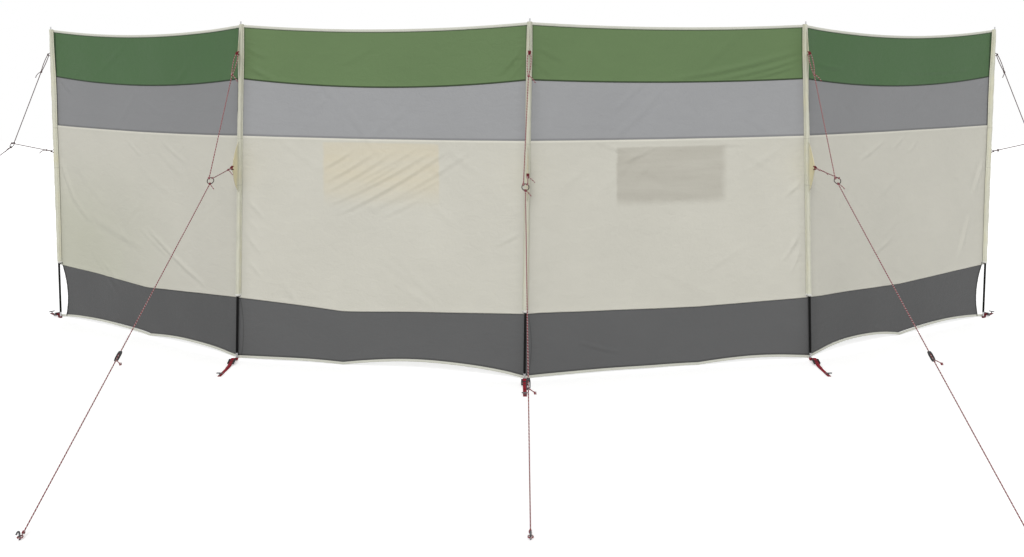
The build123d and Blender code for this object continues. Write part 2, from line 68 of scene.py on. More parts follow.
# Cloth levels at the poles and how its edges hang between them
CLOTH_TOP = POLE_HEIGHT - 0.014
GREEN_FOOT = CLOTH_TOP - 0.222
GREY_FOOT = GREEN_FOOT - 0.254
BEIGE_FOOT = 0.278
HEM_CLEARANCE = 0.006
BINDING_HEIGHT = 0.011
TOP_SAGS = (0.034, 0.024, 0.015, 0.038)
GREEN_SAGS = (0.038, 0.034, 0.013, 0.040)
GREY_SAGS = (0.010, 0.005, 0.004, 0.004)
BEIGE_SAGS = (0.036, 0.036, 0.016, 0.022)
CREASE_SHARES = (0.52, 0.38, 0.6, 0.5)
HEM_RISES = ((0.018, 0.018), (0.004, 0.034), (0.004, 0.014), (0.036, 0.018))
BELLY = 0.012
BAND_PROUD = 0.0009
TAPE_PROUD = 0.0011
END_TAPE_HALF = 0.0045
SEAM_RUN = (0.022, 0.008)
END_HEM = 0.013
SKIRT_HEM = 0.030
SPAN = BAY_WIDTH + END_HEM
COLUMNS = 190
CLOTH_SEAT = 0.0065
CLOTH_DEPTH = 0.0075
END_EDGE_OFFSETS = (0.012, 0.049, 0.033)
SLEEVE_WIDTH = 0.022

# Pockets on the back: bay, distance from the bay's left pole
POCKETS = ((1, 0.400), (2, 0.385))
POCKET_WIDTH = 0.490
POCKET_HEIGHT = 0.255
POCKET_TOP = GREY_FOOT - 0.015

# Guy ropes and their fittings
GUY_HEADINGS = (170.0, -95.0, -90.0, -86.0, 10.0)
GUY_REACHES = (1.560, 1.560, 1.280, 1.560, 1.560)
LOWER_TAB = GREY_FOOT - 0.122
UPPER_TAB = CLOTH_TOP - 0.121
RING_REACH = 0.240
RING_RISES = (0.027, -0.033, -0.023, -0.033, 0.027)
RING_RADIUS = 0.01325
RING_TILT = 60.0
RING_KNOTS = (35.0, -35.0)
RING_WIRE = 0.00175
LEG_LOOPS = ((0.026, 0.003), (0.095, 0.0075))  # length and spread of the loop at each tab, lower one first
KNOT_SIZE = 0.0095
TAB_REACH = 0.012
SLEEVE_PULLS = ((0.0, 0.0), (0.070, 0.022), (0.070, 0.022), (0.070, 0.022), (0.0, 0.0))
FIN_HEIGHT = 0.200
TAB_WIDTH = 0.012
TAB_HEIGHT = 0.010
SLIDER_SHARES = (0.6, 0.585, 0.635, 0.585, 0.6)
SLIDER_LENGTH = 0.041
SLIDER_WIDTH = 0.014
SLIDER_BARS = ((-0.0150, 0.0055), (0.0180, 0.0025))  # place along the line and half length
EYE_LEVEL = 0.007
EYE_RADIUS = 0.007
EYE_GAP = 0.002
PEG_RADIUS = 0.0025
PEG_ROUTE = ((0.0, 0.0), (0.0, 0.005), (0.0, 0.010), (0.0, 0.016), (0.0005, 0.022), (0.005, 0.0262),
             (0.011, 0.0255), (0.0148, 0.021))

# Foot straps
STRAP_HEADINGS = (136.0, -92.0, -90.0, -88.0, 44.0)
STRAP_REACHES = (0.115, 0.215, 0.175, 0.215, 0.115)
STRAP_CREST = 0.020
RISE_START = 0.012
CREST_SHARE = 0.12
FALL_SHARE = 0.4
BUCKLE_LENGTH = 0.032
BUCKLE_WIDTH = 0.028
BUCKLE_BAR = 0.004
BUCKLE_BARS = ((-0.0140, 0.0030), (0.0, 0.0046), (0.0140, 0.0030))  # place along the slope and height
TOGGLE_HEIGHT = 0.012
TOGGLE_LENGTH = 0.026

STRAP_THICKNESS = 0.0016
LOOSE_THICKNESS = 0.0015
LOOP_RADIUS = 0.0058
LOOP_LEVEL = 0.0048
LOOP_SWEEP = 0.62 * pi
LOOP_WIDTH = 0.0075
TAB_THICKNESS = 0.0014

# Floor of the stage: it lies a hair below the object's feet
FLOOR_RADIUS = 14.0
FLOOR_DROP = 0.0005

# Pitches of threads in the finishes
YARN = 0.0011
BRAID = 0.0045
RIBS = 0.0016
ZIGZAG = 0.0075
STITCH_ROWS = (0.0025, 0.0062)

# Bands of cloth: name, finish, node, and width and tone of the doubled cloth at its foot and at its head;
# the tones are partly painted shade and highlight along the seams
BANDS = (
    ("green", "green_ripstop", "green_band", (0.0062, 0.36), (0.0036, 0.50)),
    ("grey", "light_grey_ripstop", "grey_band", (0.0150, 0.74), (0.0100, 0.92)),
    ("beige", "beige_ripstop", "beige_band", (0.0070, 1.20), (0.0080, 1.16)),
    ("skirt", "dark_grey_ripstop", "skirt", (0.0080, 0.8), (0.0110, 0.56)),
)

# Painted shade beside a sleeve, as a dark line: its place, half-width and strength
GREEN_SHADOW = (0.0150, 0.0028, 0.6)
END_GREEN_SHADOW = (0.0195, 0.0050, 0.9)
END_GREY_SHADOW = (0.0195, 0.0042, 0.8)

# Creases seen in the cloth of each bay: start and end as distance from the left pole and height,
# half-width and height of the fold
FOLDS = (
    (
        (0.66, 0.51, 1.06, 0.29, 0.010, 0.0040),
        (0.60, 0.51, 0.98, 0.31, 0.008, 0.0016),
        (0.20, 0.56, 0.63, 0.42, 0.020, 0.0018),
        (0.77, 0.92, 0.94, 0.83, 0.008, 0.0016),
        (0.52, 0.92, 0.62, 0.85, 0.008, 0.0012),
        (0.02, 0.82, 0.13, 0.59, 0.012, 0.0030),
        (0.10, 0.63, 0.26, 0.50, 0.014, 0.0022),
        (0.04, 1.21, 0.14, 1.12, 0.010, 0.0022),
    ),
    (
        (0.46, 0.64, 0.94, 0.92, 0.008, 0.0032),
        (0.42, 0.68, 0.88, 0.92, 0.007, 0.0028),
        (0.41, 0.78, 0.63, 0.91, 0.007, 0.0026),
        (0.39, 0.83, 0.54, 0.92, 0.007, 0.0024),
        (0.40, 0.73, 0.72, 0.92, 0.007, 0.0022),
        (0.50, 0.73, 0.74, 0.87, 0.007, 0.0022),
        (0.56, 0.79, 0.82, 0.935, 0.006, 0.0018),
        (0.60, 0.66, 1.05, 0.93, 0.009, 0.0020),
        (0.70, 0.70, 0.92, 0.81, 0.008, 0.0016),
        (0.66, 0.64, 0.82, 0.72, 0.008, 0.0014),
        (0.03, 0.73, 0.14, 0.61, 0.009, 0.0015),
        (0.02, 0.59, 0.12, 0.46, 0.009, 0.0018),
        (0.03, 0.47, 0.12, 0.36, 0.009, 0.0016),
        (0.03, 0.66, 0.10, 0.56, 0.008, 0.0012),
        (1.14, 0.54, 1.25, 0.60, 0.008, 0.0018),
        (1.15, 1.22, 1.27, 1.36, 0.010, 0.0026),
        (1.20, 1.21, 1.27, 1.30, 0.008, 0.0022),
        (0.06, 1.27, 0.20, 1.20, 0.010, 0.0018),
        (0.05, 1.34, 0.16, 1.30, 0.010, 0.0016),
    ),
    (
        (0.60, 1.205, 1.21, 1.33, 0.010, 0.0024),
        (0.81, 1.205, 1.22, 1.30, 0.008, 0.0024),
        (0.93, 1.205, 1.22, 1.275, 0.007, 0.0022),
        (0.01, 1.32, 0.13, 1.21, 0.010, 0.0024),
        (0.02, 1.36, 0.17, 1.28, 0.010, 0.0018),
        (0.40, 0.87, 0.56, 0.93, 0.008, 0.0016),
        (0.30, 0.96, 0.44, 0.91, 0.008, 0.0014),
        (0.23, 0.14, 0.41, 0.085, 0.007, 0.0020),
        (1.14, 0.71, 1.24, 0.80, 0.009, 0.0026),
        (1.13, 0.43, 1.23, 0.59, 0.009, 0.0022),
        (1.17, 0.38, 1.23, 0.53, 0.008, 0.0022),
        (0.83, 0.945, 0.96, 0.93, 0.007, 0.0014),
    ),
    (
        (0.32, 0.84, 0.50, 0.93, 0.009, 0.0018),
        (0.55, 0.88, 0.64, 0.94, 0.008, 0.0014),
        (0.67, 0.86, 0.74, 0.92, 0.008, 0.0014),
        (0.40, 0.40, 0.56, 0.47, 0.010, 0.0018),
        (1.25, 0.82, 1.16, 0.63, 0.012, 0.0030),
        (1.14, 0.53, 1.07, 0.32, 0.014, 0.0024),
        (0.02, 1.275, 0.20, 1.25, 0.008, 0.0020),
        (0.60, 1.235, 1.12, 1.25, 0.010, 0.0014),
        (1.15, 1.13, 1.24, 1.21, 0.009, 0.0022),
    ),
)

# Faint creases drawn at random in each bay: how many, and the half-width and height of each
FAINT_FOLDS = 14
FAINT_FOLD = (0.013, 0.0007)

# Widths of the sleeves beside the pole, from the foot up: level, and half-width on the side that the
# guy rope pulls at, on the other side, and on the inner side of an end pole
SLEEVE_LEVELS = (0.278, 0.45, 0.68, 0.84, 0.95, 1.06, 1.075, 1.20, 1.27, 1.315, 1.37, 1.420, 1.437)
SLEEVE_PULLED = (0.0105, 0.0095, 0.0100, 0.0135, 0.0120, 0.0110, 0.0085, 0.0090, 0.0125, 0.0155, 0.0110,
                 0.0080, 0.0068)
SLEEVE_PLAIN = (0.0100, 0.0090, 0.0088, 0.0090, 0.0085, 0.0082, 0.0082, 0.0088, 0.0092, 0.0095, 0.0085,
                0.0078, 0.0068)
SLEEVE_INNER = (0.0085, 0.0120, 0.0155, 0.0135, 0.0130, 0.0160, 0.0165, 0.0160, 0.0125, 0.0105, 0.0085,
                0.0078, 0.0068)
SLEEVE_SIDES = (0, -1, 0, 1, 0)
SLEEVE_WING = 0.0045
CAP_STEPS = ((0.8, 0.001), (0.6, 0.0016), (0.5, 0.0016))


def colour_of(name, description, default):
    """A colour to set, as linear red, green and blue."""
    return FloatVectorProperty(
        name=name, description=description, subtype="COLOR", size=3, min=0.0, max=1.0, default=default)


def number_of(name, description, default, highest, lowest=0.0, **kind):
    """A number to set between its limits; kind holds its unit and subtype."""
    return FloatProperty(
        name=name, description=description, default=default, min=lowest, max=highest, **kind)


def length_of(name, description, default, highest, lowest=0.0):
    """A length to set, in metres."""
    return number_of(name, description, default, highest, lowest, unit="LENGTH")


def angle_of(name, description, default, highest):
    """An angle to set, in radians."""
    return number_of(name, description, default, highest, subtype="ANGLE", unit="ROTATION")


class ClothSettings(PropertyGroup):
    """Colours of the cloth and how much it creases."""

    green: colour_of("Green band", "Colour of the top band", (0.126, 0.200, 0.084))
    # Painted shade: a darker copy of the same green for the two end bays, which face away from the light
    shaded_end_green: colour_of(
        "Green band at the ends", "Colour of the top band in the two end bays", (0.061, 0.128, 0.050))
    light_grey: colour_of("Grey band", "Colour of the light grey band", (0.338, 0.342, 0.350))
    beige: colour_of("Beige band", "Colour of the wide beige band", (0.612, 0.598, 0.526))
    skirt: colour_of("Skirt", "Colour of the dark grey skirt", (0.108, 0.109, 0.110))
    tape: colour_of("Binding", "Colour of the binding tapes", (0.660, 0.662, 0.580))
    sleeve: colour_of("Sleeve", "Colour of the pole sleeves", (0.660, 0.655, 0.540))
    # Painted shade: tones of the same grey, beige and skirt cloth for the two end bays, which face away from
    # the light
    end_shade_tones: FloatVectorProperty(
        name="End bay tones", description="Tone of the two end bays' grey, beige and skirt cloth",
        size=3, min=0.0, max=2.0, default=(0.71, 0.95, 0.74))
    crease_depth: number_of(
        "Crease depth", "Scale of the creases that the cloth shows", 2.0, 4.0, subtype="FACTOR")
    billow: length_of("Billow", "Height of the broad soft waves in the cloth", 0.0022, 0.01)
    pucker: length_of("Pucker", "Height of the ripples along the sewn edges", 0.0009, 0.005)
    thickness: length_of("Thickness", "Thickness of the cloth", 0.0006, 0.002, 0.0001)
    overlap: length_of("Seam overlap", "How far one band lies over the next at a seam", 0.007, 0.02)


class RopeSettings(PropertyGroup):
    """Size and colours of the guy ropes."""

    diameter: length_of("Diameter", "Diameter of the braided cord", 0.0038, 0.01, 0.001)
    colour: colour_of("Cord", "Main colour of the cord", (0.230, 0.018, 0.030))
    # Painted shade: a darker copy of the same cord for the ropes at the two end poles
    shaded_end_colour: colour_of("End cord", "Main colour of the cord at the two end poles", (0.075, 0.022, 0.026))
    fleck: colour_of("Fleck", "Colour of the light tracer yarns", (0.640, 0.560, 0.540))
    fleck_pitch: length_of("Fleck pitch", "Distance between flecks along the cord", 0.011, 0.05, 0.002)
    sag: length_of("Sag", "How far a taut line hangs in its middle", 0.003, 0.02)


class FittingSettings(PropertyGroup):
    """Colours and sizes of the hard fittings and the webbing."""

    webbing: colour_of("Webbing", "Colour of the foot straps and tabs", (0.330, 0.008, 0.024))
    plastic: colour_of("Plastic", "Colour of the sliders and buckles", (0.016, 0.016, 0.018))
    steel: colour_of("Steel", "Colour of the pins and ferrules", (0.520, 0.520, 0.530))
    pole: colour_of("Pole", "Colour of the coated poles", (0.003, 0.003, 0.003))
    strap_width: length_of("Strap width", "Width of the foot straps", 0.015, 0.03, 0.005)


class StageSettings(PropertyGroup):
    """Camera and light."""

    focal_length: number_of("Focal length", "Lens on a 36 mm sensor", 33.6, 200.0, 10.0, unit="CAMERA")
    pitch: angle_of("Pitch", "How far the camera looks down", radians(3.821), 1.0)
    camera_place: FloatVectorProperty(
        name="Camera place", description="Where the camera stands",
        size=3, default=(-0.050, -3.768, 1.2827), subtype="TRANSLATION", unit="LENGTH")
    shift: number_of("Shift", "Upward shift of the lens", -0.150, 1.0, -1.0)
    sky: number_of("Sky", "Strength of the even light from all round", 0.36, 5.0)
    lamp: number_of("Lamp", "Strength of the wide soft light from the front", 1.86, 20.0)
    back_lamp: number_of("Back lamp", "Strength of the wide soft light from behind", 1.1, 20.0)
    lamp_height: angle_of("Lamp height", "Angle of the soft lights above the horizon", radians(40), pi / 2)
    lamp_softness: angle_of("Lamp softness", "Angle that each soft light spans", radians(32), pi)
    floor_lift: number_of(
        "Floor lift", "Light that the floor adds where it is seen, which makes it white", 0.44, 1.0)


def heading(angle):
    """Level unit vector at an angle from +X, in degrees."""
    return np.array([cos(radians(angle)), sin(radians(angle)), 0.0])


def directions(angle):
    """Level unit vectors at an angle and a quarter turn to its left."""
    return heading(angle), heading(angle + 90)


def pole_feet():
    """Feet of the poles: each is its left neighbour plus a bay's length, and the middle one is the origin."""
    steps = np.array([heading(angle) for angle in BAY_HEADINGS]) * BAY_WIDTH
    feet = np.vstack([np.zeros(3), np.cumsum(steps, axis=0)])
    return feet - feet[LAST_POLE // 2]


FEET = pole_feet()
UP = np.array([0.0, 0.0, 1.0])


def axis_point(pole, level):
    """Point on a leaning pole's axis: its foot plus the lean's share of the height."""
    level = np.asarray(level, float)
    return FEET[pole] + np.stack([POLE_LEANS[pole] * level / POLE_HEIGHT, 0 * level, level], -1)


def side_headings(pole):
    """Headings of the bays left and right of a pole; an end pole has one bay."""
    return BAY_HEADINGS[max(pole - 1, 0)], BAY_HEADINGS[min(pole, LAST_POLE - 1)]


def corner(pole, level):
    """Mitre of the two bays' cloth behind a pole; an end pole's cloth runs on by the end hem."""
    left, right = side_headings(pole)
    back = heading((left + right) / 2 + 90) * (CLOTH_DEPTH / cos(radians((right - left) / 2)))
    past = 0.0
    if pole == 0:
        past = -heading(left) * END_HEM
    if pole == LAST_POLE:
        past = heading(right) * END_HEM
    return axis_point(pole, level) + back + past


def reach_along(bay, points):
    """Distance of points from a bay's left pole, along the bay."""
    return (points - FEET[bay]) @ heading(BAY_HEADINGS[bay])


def reaches(bay, level, point):
    """Reaches of a bay's two ends at a level, where point is axis_point or corner."""
    return [reach_along(bay, point(pole, level)) for pole in (bay, bay + 1)]


def beside_poles(bay, reach, level):
    """Distance from the nearer of a bay's two pole axes."""
    left, right = reaches(bay, level, axis_point)
    return np.minimum(reach - left, right - reach)


def ease(low, high, value):
    """Smooth step from 0 at low to 1 at high: 3 t squared less 2 t cubed."""
    share = np.clip((value - low) / (high - low), 0.0, 1.0)
    return share * share * (3 - 2 * share)


def unit(vector):
    """Vectors of length 1 along the last axis."""
    return vector / np.linalg.norm(vector, axis=-1, keepdims=True)


def creases(bay, reach, level):
    """Sum of the bay's creases. Across a crease the height is a bell, with a shallow dip beside it, and along
    it the height rises and falls as the sine of the way along."""
    total = np.zeros(np.shape(reach))
    chance = np.random.default_rng(17 + bay)
    faint = [
        (x, z, x + run * cos(turn), z + run * sin(turn), *FAINT_FOLD)
        for x, z, run, turn in zip(
            chance.uniform(0.1, 0.95, FAINT_FOLDS), chance.uniform(0.35, 1.30, FAINT_FOLDS),
            chance.uniform(0.12, 0.34, FAINT_FOLDS),
            chance.choice([-1, 1], FAINT_FOLDS) * chance.uniform(0.45, 0.95, FAINT_FOLDS))
    ]
    for x0, z0, x1, z1, width, height in list(FOLDS[bay]) + faint:
        length = np.hypot(x1 - x0, z1 - z0)
        along = ((reach - x0) * (x1 - x0) + (level - z0) * (z1 - z0)) / length ** 2
        across = ((reach - x0) * (z1 - z0) - (level - z0) * (x1 - x0)) / length
        bow = 0.02 * length * np.sin(pi * np.clip(along, 0, 1))
        bell = np.exp(-((across - bow) / width) ** 2) - 0.45 * np.exp(-((across - bow) / width - 1.7) ** 2)
        total = total + height * bell * np.sin(pi * np.clip(along, 0, 1)) ** 0.7
    return total


def relief(bay, reach, level):
    """How far the cloth stands towards the viewer: creases, broad waves as a sum of slanting sines, and
    ripples that fade away from the poles. It is nothing at the poles, where the cloth is sewn down."""
    settings = bpy.context.scene.windbreak_cloth
    beside = beside_poles(bay, reach, level)
    chance = np.random.default_rng(5 + bay)
    waves = 0.0
    for pitch, turn, phase in zip(
            chance.uniform(0.22, 0.65, 6), chance.uniform(-1.2, 1.2, 6), chance.uniform(0, 2 * pi, 6)):
        waves = waves + np.sin(2 * pi * (reach * cos(turn) + level * sin(turn)) / pitch + phase) / 2.4
    wander = 2.4 * np.sin(2 * pi * level / 0.23 + bay) + 1.3 * np.sin(2 * pi * level / 0.091)
    ripple = np.sin(2 * pi * level / 0.034 + wander + 30 * beside) * np.exp(-np.maximum(beside, 0) / 0.045)
    free = ease(0.012, 0.075, beside)
    still = ease(0.012, 0.030, beside)
    folds = settings.crease_depth * creases(bay, reach, level) + settings.billow * waves
    return folds * free + settings.pucker * ripple * still


def cloth_points(bay, place, level, proud=0.0):
    """Points of a bay's cloth. place runs from 0 to 1 between the mitred corners, level is the height, and
    the cloth bows backwards by four bellies times place times one less place."""
    left, right = corner(bay, level), corner(bay + 1, level)
    start = left + (right - left) * place[..., None]
    forward = proud + relief(bay, reach_along(bay, start), level) - BELLY * 4 * place * (1 - place)
    return start - heading(BAY_HEADINGS[bay] + 90) * forward[..., None]


def pole_share(bay, place, level):
    """Share of the way between the two pole axes at a level, for a place between the mitred corners."""
    left, right = reaches(bay, level, corner)
    first, last = reaches(bay, level, axis_point)
    return (left + (right - left) * place - first) / (last - first)


def sagging(level, sags):
    """Edge that hangs as a parabola: level less four sags times share times one less share."""
    return lambda bay, place: level - 4 * sags[bay] * (
        pole_share(bay, place, level) * (1 - pole_share(bay, place, level)))


def beige_edge(bay, place):
    """Two straight runs that meet at the bay's crease, with the corner rounded off."""
    share = pole_share(bay, place, BEIGE_FOOT)
    middle = CREASE_SHARES[bay]
    run = np.where(share < middle, share / middle, (1 - share) / (1 - middle))
    rounded = 1 - np.sqrt((1 - run) ** 2 + 0.03 ** 2) + 0.03
    return BEIGE_FOOT - BEIGE_SAGS[bay] * np.clip(rounded, 0, 1)


def arched(level):
    """Edge that rises from each pole to the crease in a shallow arch: four rises times t times one less t."""
    def height(bay, place):
        share = np.clip(pole_share(bay, place, level), 0, 1)
        middle = CREASE_SHARES[bay]
        first = share / middle
        second = (share - middle) / (1 - middle)
        rise = np.where(share < middle, HEM_RISES[bay][0] * first * (1 - first),
                        HEM_RISES[bay][1] * second * (1 - second))
        return level + 4 * rise
    return height


top_edge = sagging(CLOTH_TOP, TOP_SAGS)
binding_edge = sagging(CLOTH_TOP - BINDING_HEIGHT, TOP_SAGS)
green_edge = sagging(GREEN_FOOT, GREEN_SAGS)
grey_edge = sagging(GREY_FOOT, GREY_SAGS)
skirt_edge = arched(HEM_CLEARANCE + BINDING_HEIGHT)
bottom_edge = arched(HEM_CLEARANCE)


def end_offset(level):
    """Distance of the skirt's free edge from an end pole: the parabola through its top, middle and foot."""
    foot = HEM_CLEARANCE + BINDING_HEIGHT
    share = (level - foot) / (BEIGE_FOOT - foot)
    top, middle, low = END_EDGE_OFFSETS
    return (low * (1 - share) * (1 - 2 * share) + middle * 4 * share * (1 - share)
            + top * share * (2 * share - 1))


def squares(index):
    """Each square of four neighbours in a grid of point numbers, as a row."""
    return np.stack([index[:-1, :-1], index[:-1, 1:], index[1:, 1:], index[1:, :-1]], -1).reshape(-1, 4)


def add_piece(name, grids, material, replaces=(), closed=True, thickness=0.0, marks=None):
    """One mesh from several grids. A grid is points by rows and columns with its pattern coordinates, and
    each square of four neighbours is a face. Doubled points, as where a grid closes on itself, are merged."""
    points, patterns, faces, start = [], [], [], 0
    for place, pattern in grids:
        rows, cols = place.shape[:2]
        index = start + np.arange(rows * cols).reshape(rows, cols)
        faces.append(squares(index))
        points.append(place.reshape(-1, 3))
        patterns.append(pattern.reshape(-1, 2))
        start += rows * cols
    points, patterns, faces = np.concatenate(points), np.concatenate(patterns), np.concatenate(faces)
    mesh = bpy.data.meshes.new(name)
    mesh.vertices.add(len(points))
    mesh.vertices.foreach_set("co", points.astype(np.float32).ravel())
    mesh.loops.add(faces.size)
    mesh.loops.foreach_set("vertex_index", faces.astype(np.int32).ravel())
    mesh.polygons.add(len(faces))
    mesh.polygons.foreach_set("loop_start", np.arange(0, faces.size, 4, dtype=np.int32))
    mesh.update(calc_edges=True)
    layer = mesh.uv_layers.new(name="pattern")
    layer.data.foreach_set("uv", patterns[faces.ravel()].astype(np.float32).ravel())
    for mark, values in (marks or {}).items():
        numbers = mesh.attributes.new(mark, "FLOAT", "POINT")
        numbers.data.foreach_set("value", values.astype(np.float32).ravel())
    if closed:
        work = bmesh.new()
        work.from_mesh(mesh)
        bmesh.ops.remove_doubles(work, verts=work.verts, dist=1e-6)
        bmesh.ops.dissolve_degenerate(work, edges=work.edges, dist=1e-7)
        bmesh.ops.recalc_face_normals(work, faces=work.faces)
        work.to_mesh(mesh)
        work.free()
    mesh.polygons.foreach_set("use_smooth", np.ones(len(mesh.polygons), dtype=bool))
    mesh.materials.append(material)
    piece = bpy.data.objects.new(name, mesh)
    bpy.context.scene.collection.objects.link(piece)
    if thickness:
        skin = piece.modifiers.new("Thickness", "SOLIDIFY")
        skin.thickness = thickness
        skin.offset = 0.0
    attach(piece, "root")
    if replaces:
        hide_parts(*replaces)
    return piece


def square(rows, cols):
    """Two parameter arrays from 0 to 1, down the rows and along the columns."""
    down, across = np.meshgrid(np.linspace(0, 1, rows), np.linspace(0, 1, cols), indexing="ij")
    return down, across


def carry(path, side, profile, closed_path=False):
    """Profile carried along a path. At each point of the path the profile's first number is laid along the
    side direction and its second along the cross product of tangent and side."""
    tangent = np.gradient(path, axis=0)
    if closed_path:
        tangent[0] = tangent[-1] = path[1] - path[-2]
    tangent = unit(tangent)
    side = np.broadcast_to(side, path.shape)
    side = unit(side - tangent * (side * tangent).sum(-1, keepdims=True))
    other = np.cross(tangent, side)
    return path[:, None] + side[:, None] * profile[:, :1] + other[:, None] * profile[:, 1:]


def run_lengths(path):
    """Length along a path up to each of its points."""
    return np.concatenate([[0.0], np.cumsum(np.linalg.norm(np.diff(path, axis=0), axis=1))])


def pattern_of(across, along):
    """Pattern coordinates of a grid from one number for each column and one for each row."""
    return np.stack(np.broadcast_arrays(across[None], along[:, None]), -1)


def with_ends(rows, first, last):
    """Rows of a grid with one more at each end, where all points are the same."""
    return np.concatenate([first + 0 * rows[:1], rows, last + 0 * rows[-1:]])


def soft(value, power):
    """Power of a number's size, with its sign kept; a power below 1 squares off a sine or cosine."""
    return np.sign(value) * np.abs(value) ** power


def oblong(turn, half_length, half_width, length_power, width_power):
    """Rounded oblong: a cosine and a sine with their powers, scaled by the half sizes."""
    return half_length * soft(np.cos(turn), length_power), half_width * soft(np.sin(turn), width_power)


def circle(centre, first, second, radius, steps):
    """Points of a circle round a centre, from the first direction towards the second."""
    turn = np.linspace(0, 2 * pi, steps)[:, None]
    return centre + first * (radius * np.cos(turn)) + second * (radius * np.sin(turn))


def cord_grid(path, side, radius, around=12, closed_path=False):
    """Round cord along a path: a circle carried along it, drawn in to a point at the ends of an open path."""
    turn = np.linspace(0, 2 * pi, around + 1)
    place = carry(path, side, np.stack([np.cos(turn), np.sin(turn)], -1) * radius, closed_path)
    lengths = run_lengths(path)
    if not closed_path:
        place = with_ends(place, path[0], path[-1])
        lengths = with_ends(lengths, lengths[0], lengths[-1])
    return place, pattern_of(turn * radius, lengths)


def ribbon(path, side, width, thickness):
    """Flat band carried along a path: its section is a rounded oblong, and both ends are closed."""
    section = np.stack(oblong(np.linspace(0, 2 * pi, 21), width / 2, thickness / 2, 0.25, 0.5), -1)
    body = carry(path, side, section)
    lengths = run_lengths(path)
    place = with_ends(body, body[0].mean(axis=0), body[-1].mean(axis=0))
    return place, pattern_of(section[:, 0], with_ends(lengths, lengths[0], lengths[-1]))


def smooth_path(corners, steps):
    """Curve near the corners of a route: each corner's weight is a cubic bell over its place in the order, so
    the line starts at the first corner, ends at the last and rounds the ones between."""
    corners = np.asarray(corners, float)
    padded = np.concatenate([2 * corners[:1] - corners[1:2], corners, 2 * corners[-1:] - corners[-2:-1]])
    at = np.linspace(0, len(corners) - 1, steps)[:, None]
    away = np.abs(at - (np.arange(len(padded)) - 1)[None])
    outer = np.where(away < 2, (2 - away) ** 3 / 6, 0)
    weight = np.where(away < 1, 2 / 3 - away ** 2 + away ** 3 / 2, outer)
    return weight @ padded / weight.sum(1, keepdims=True)


def straight(start, end, step=0.006, sag=0.0):
    """Points along a line that hangs by four sags times t times one less t."""
    share = np.linspace(0, 1, max(int(np.linalg.norm(end - start) / step), 2))[:, None]
    return start + (end - start) * share - UP * (4 * sag * share * (1 - share))


def knot_grid(centre, along, size, radius, turn=0.0):
    """Overhand knot as a trefoil drawn round the cord: x is sin t + 2 sin 2t, y is cos t - 2 cos 2t and the
    way along the cord is minus sin 3t, scaled to the knot's size and pulled tight."""
    axis = unit(along)
    side = unit(np.cross(axis, [0.31, 0.17, 0.93]))
    other = np.cross(axis, side)
    t = np.linspace(0, 2 * pi, 73) + turn
    x = (np.sin(t) + 2 * np.sin(2 * t)) / 3
    y = (np.cos(t) - 2 * np.cos(2 * t)) / 3
    z = -np.sin(3 * t)
    path = centre + (side * x[:, None] + other * y[:, None]) * (size * 0.36)
    return cord_grid(path + axis * (z[:, None] * size * 0.34), axis, radius, around=8, closed_path=True)


def tail_grid(start, along, length, droop, radius, side):
    """Free end of a cord: it leaves the knot along a direction, curls sideways and droops."""
    share = np.linspace(0, 1, 14)[:, None]
    path = start + along * (length * share) + side * (0.25 * length * np.sin(2.2 * share)) \
        - UP * (droop * share ** 2)
    return cord_grid(path, UP + 0.01, radius, around=8)


def rounded_block(centre, axes, half, power=0.35):
    """Closed block with soft edges: a superellipsoid, whose coordinates are signed powers of the cosines and
    sines of two angles, scaled by the half sizes along the three axes."""
    lift, turn = np.meshgrid(np.linspace(-pi / 2, pi / 2, 13), np.linspace(-pi, pi, 33), indexing="ij")
    width = soft(np.cos(lift), power)
    local = np.stack([width * soft(np.cos(turn), power), width * soft(np.sin(turn), power),
                      soft(np.sin(lift), power)], -1) * half
    return centre + local @ np.asarray(axes), np.stack([turn * half[0], lift * half[1]], -1)


def math_step(operation, swapped=False):
    """A method that adds a Math node to its signal's finish."""
    def step(self, *others):
        values = (*others, self) if swapped else (self, *others)
        return self.finish.add("ShaderNodeMath", dict(enumerate(values)), {"operation": operation})
    return step


class Signal:
    """A shader socket that takes part in expressions: each operator adds its Math node."""

    def __init__(self, finish, socket):
        self.finish = finish
        self.socket = socket

    __add__ = __radd__ = math_step("ADD")
    __sub__ = math_step("SUBTRACT")
    __rsub__ = math_step("SUBTRACT", swapped=True)
    __mul__ = __rmul__ = math_step("MULTIPLY")
    sin = math_step("SINE")
    abs = math_step("ABSOLUTE")
    top = math_step("MAXIMUM")
    low = math_step("MINIMUM")

    def ease(self, low, high):
        """Smooth step from 0 at low to 1 at high."""
        return self.finish.add(
            "ShaderNodeMapRange",
            {"Value": self, "From Min": low, "From Max": high, "To Min": 0.0, "To Max": 1.0},
            {"interpolation_type": "SMOOTHSTEP", "clamp": True})

    def parts(self):
        """The three numbers of a vector."""
        return [self.finish.add("ShaderNodeSeparateXYZ", {0: self}, output=place) for place in range(3)]


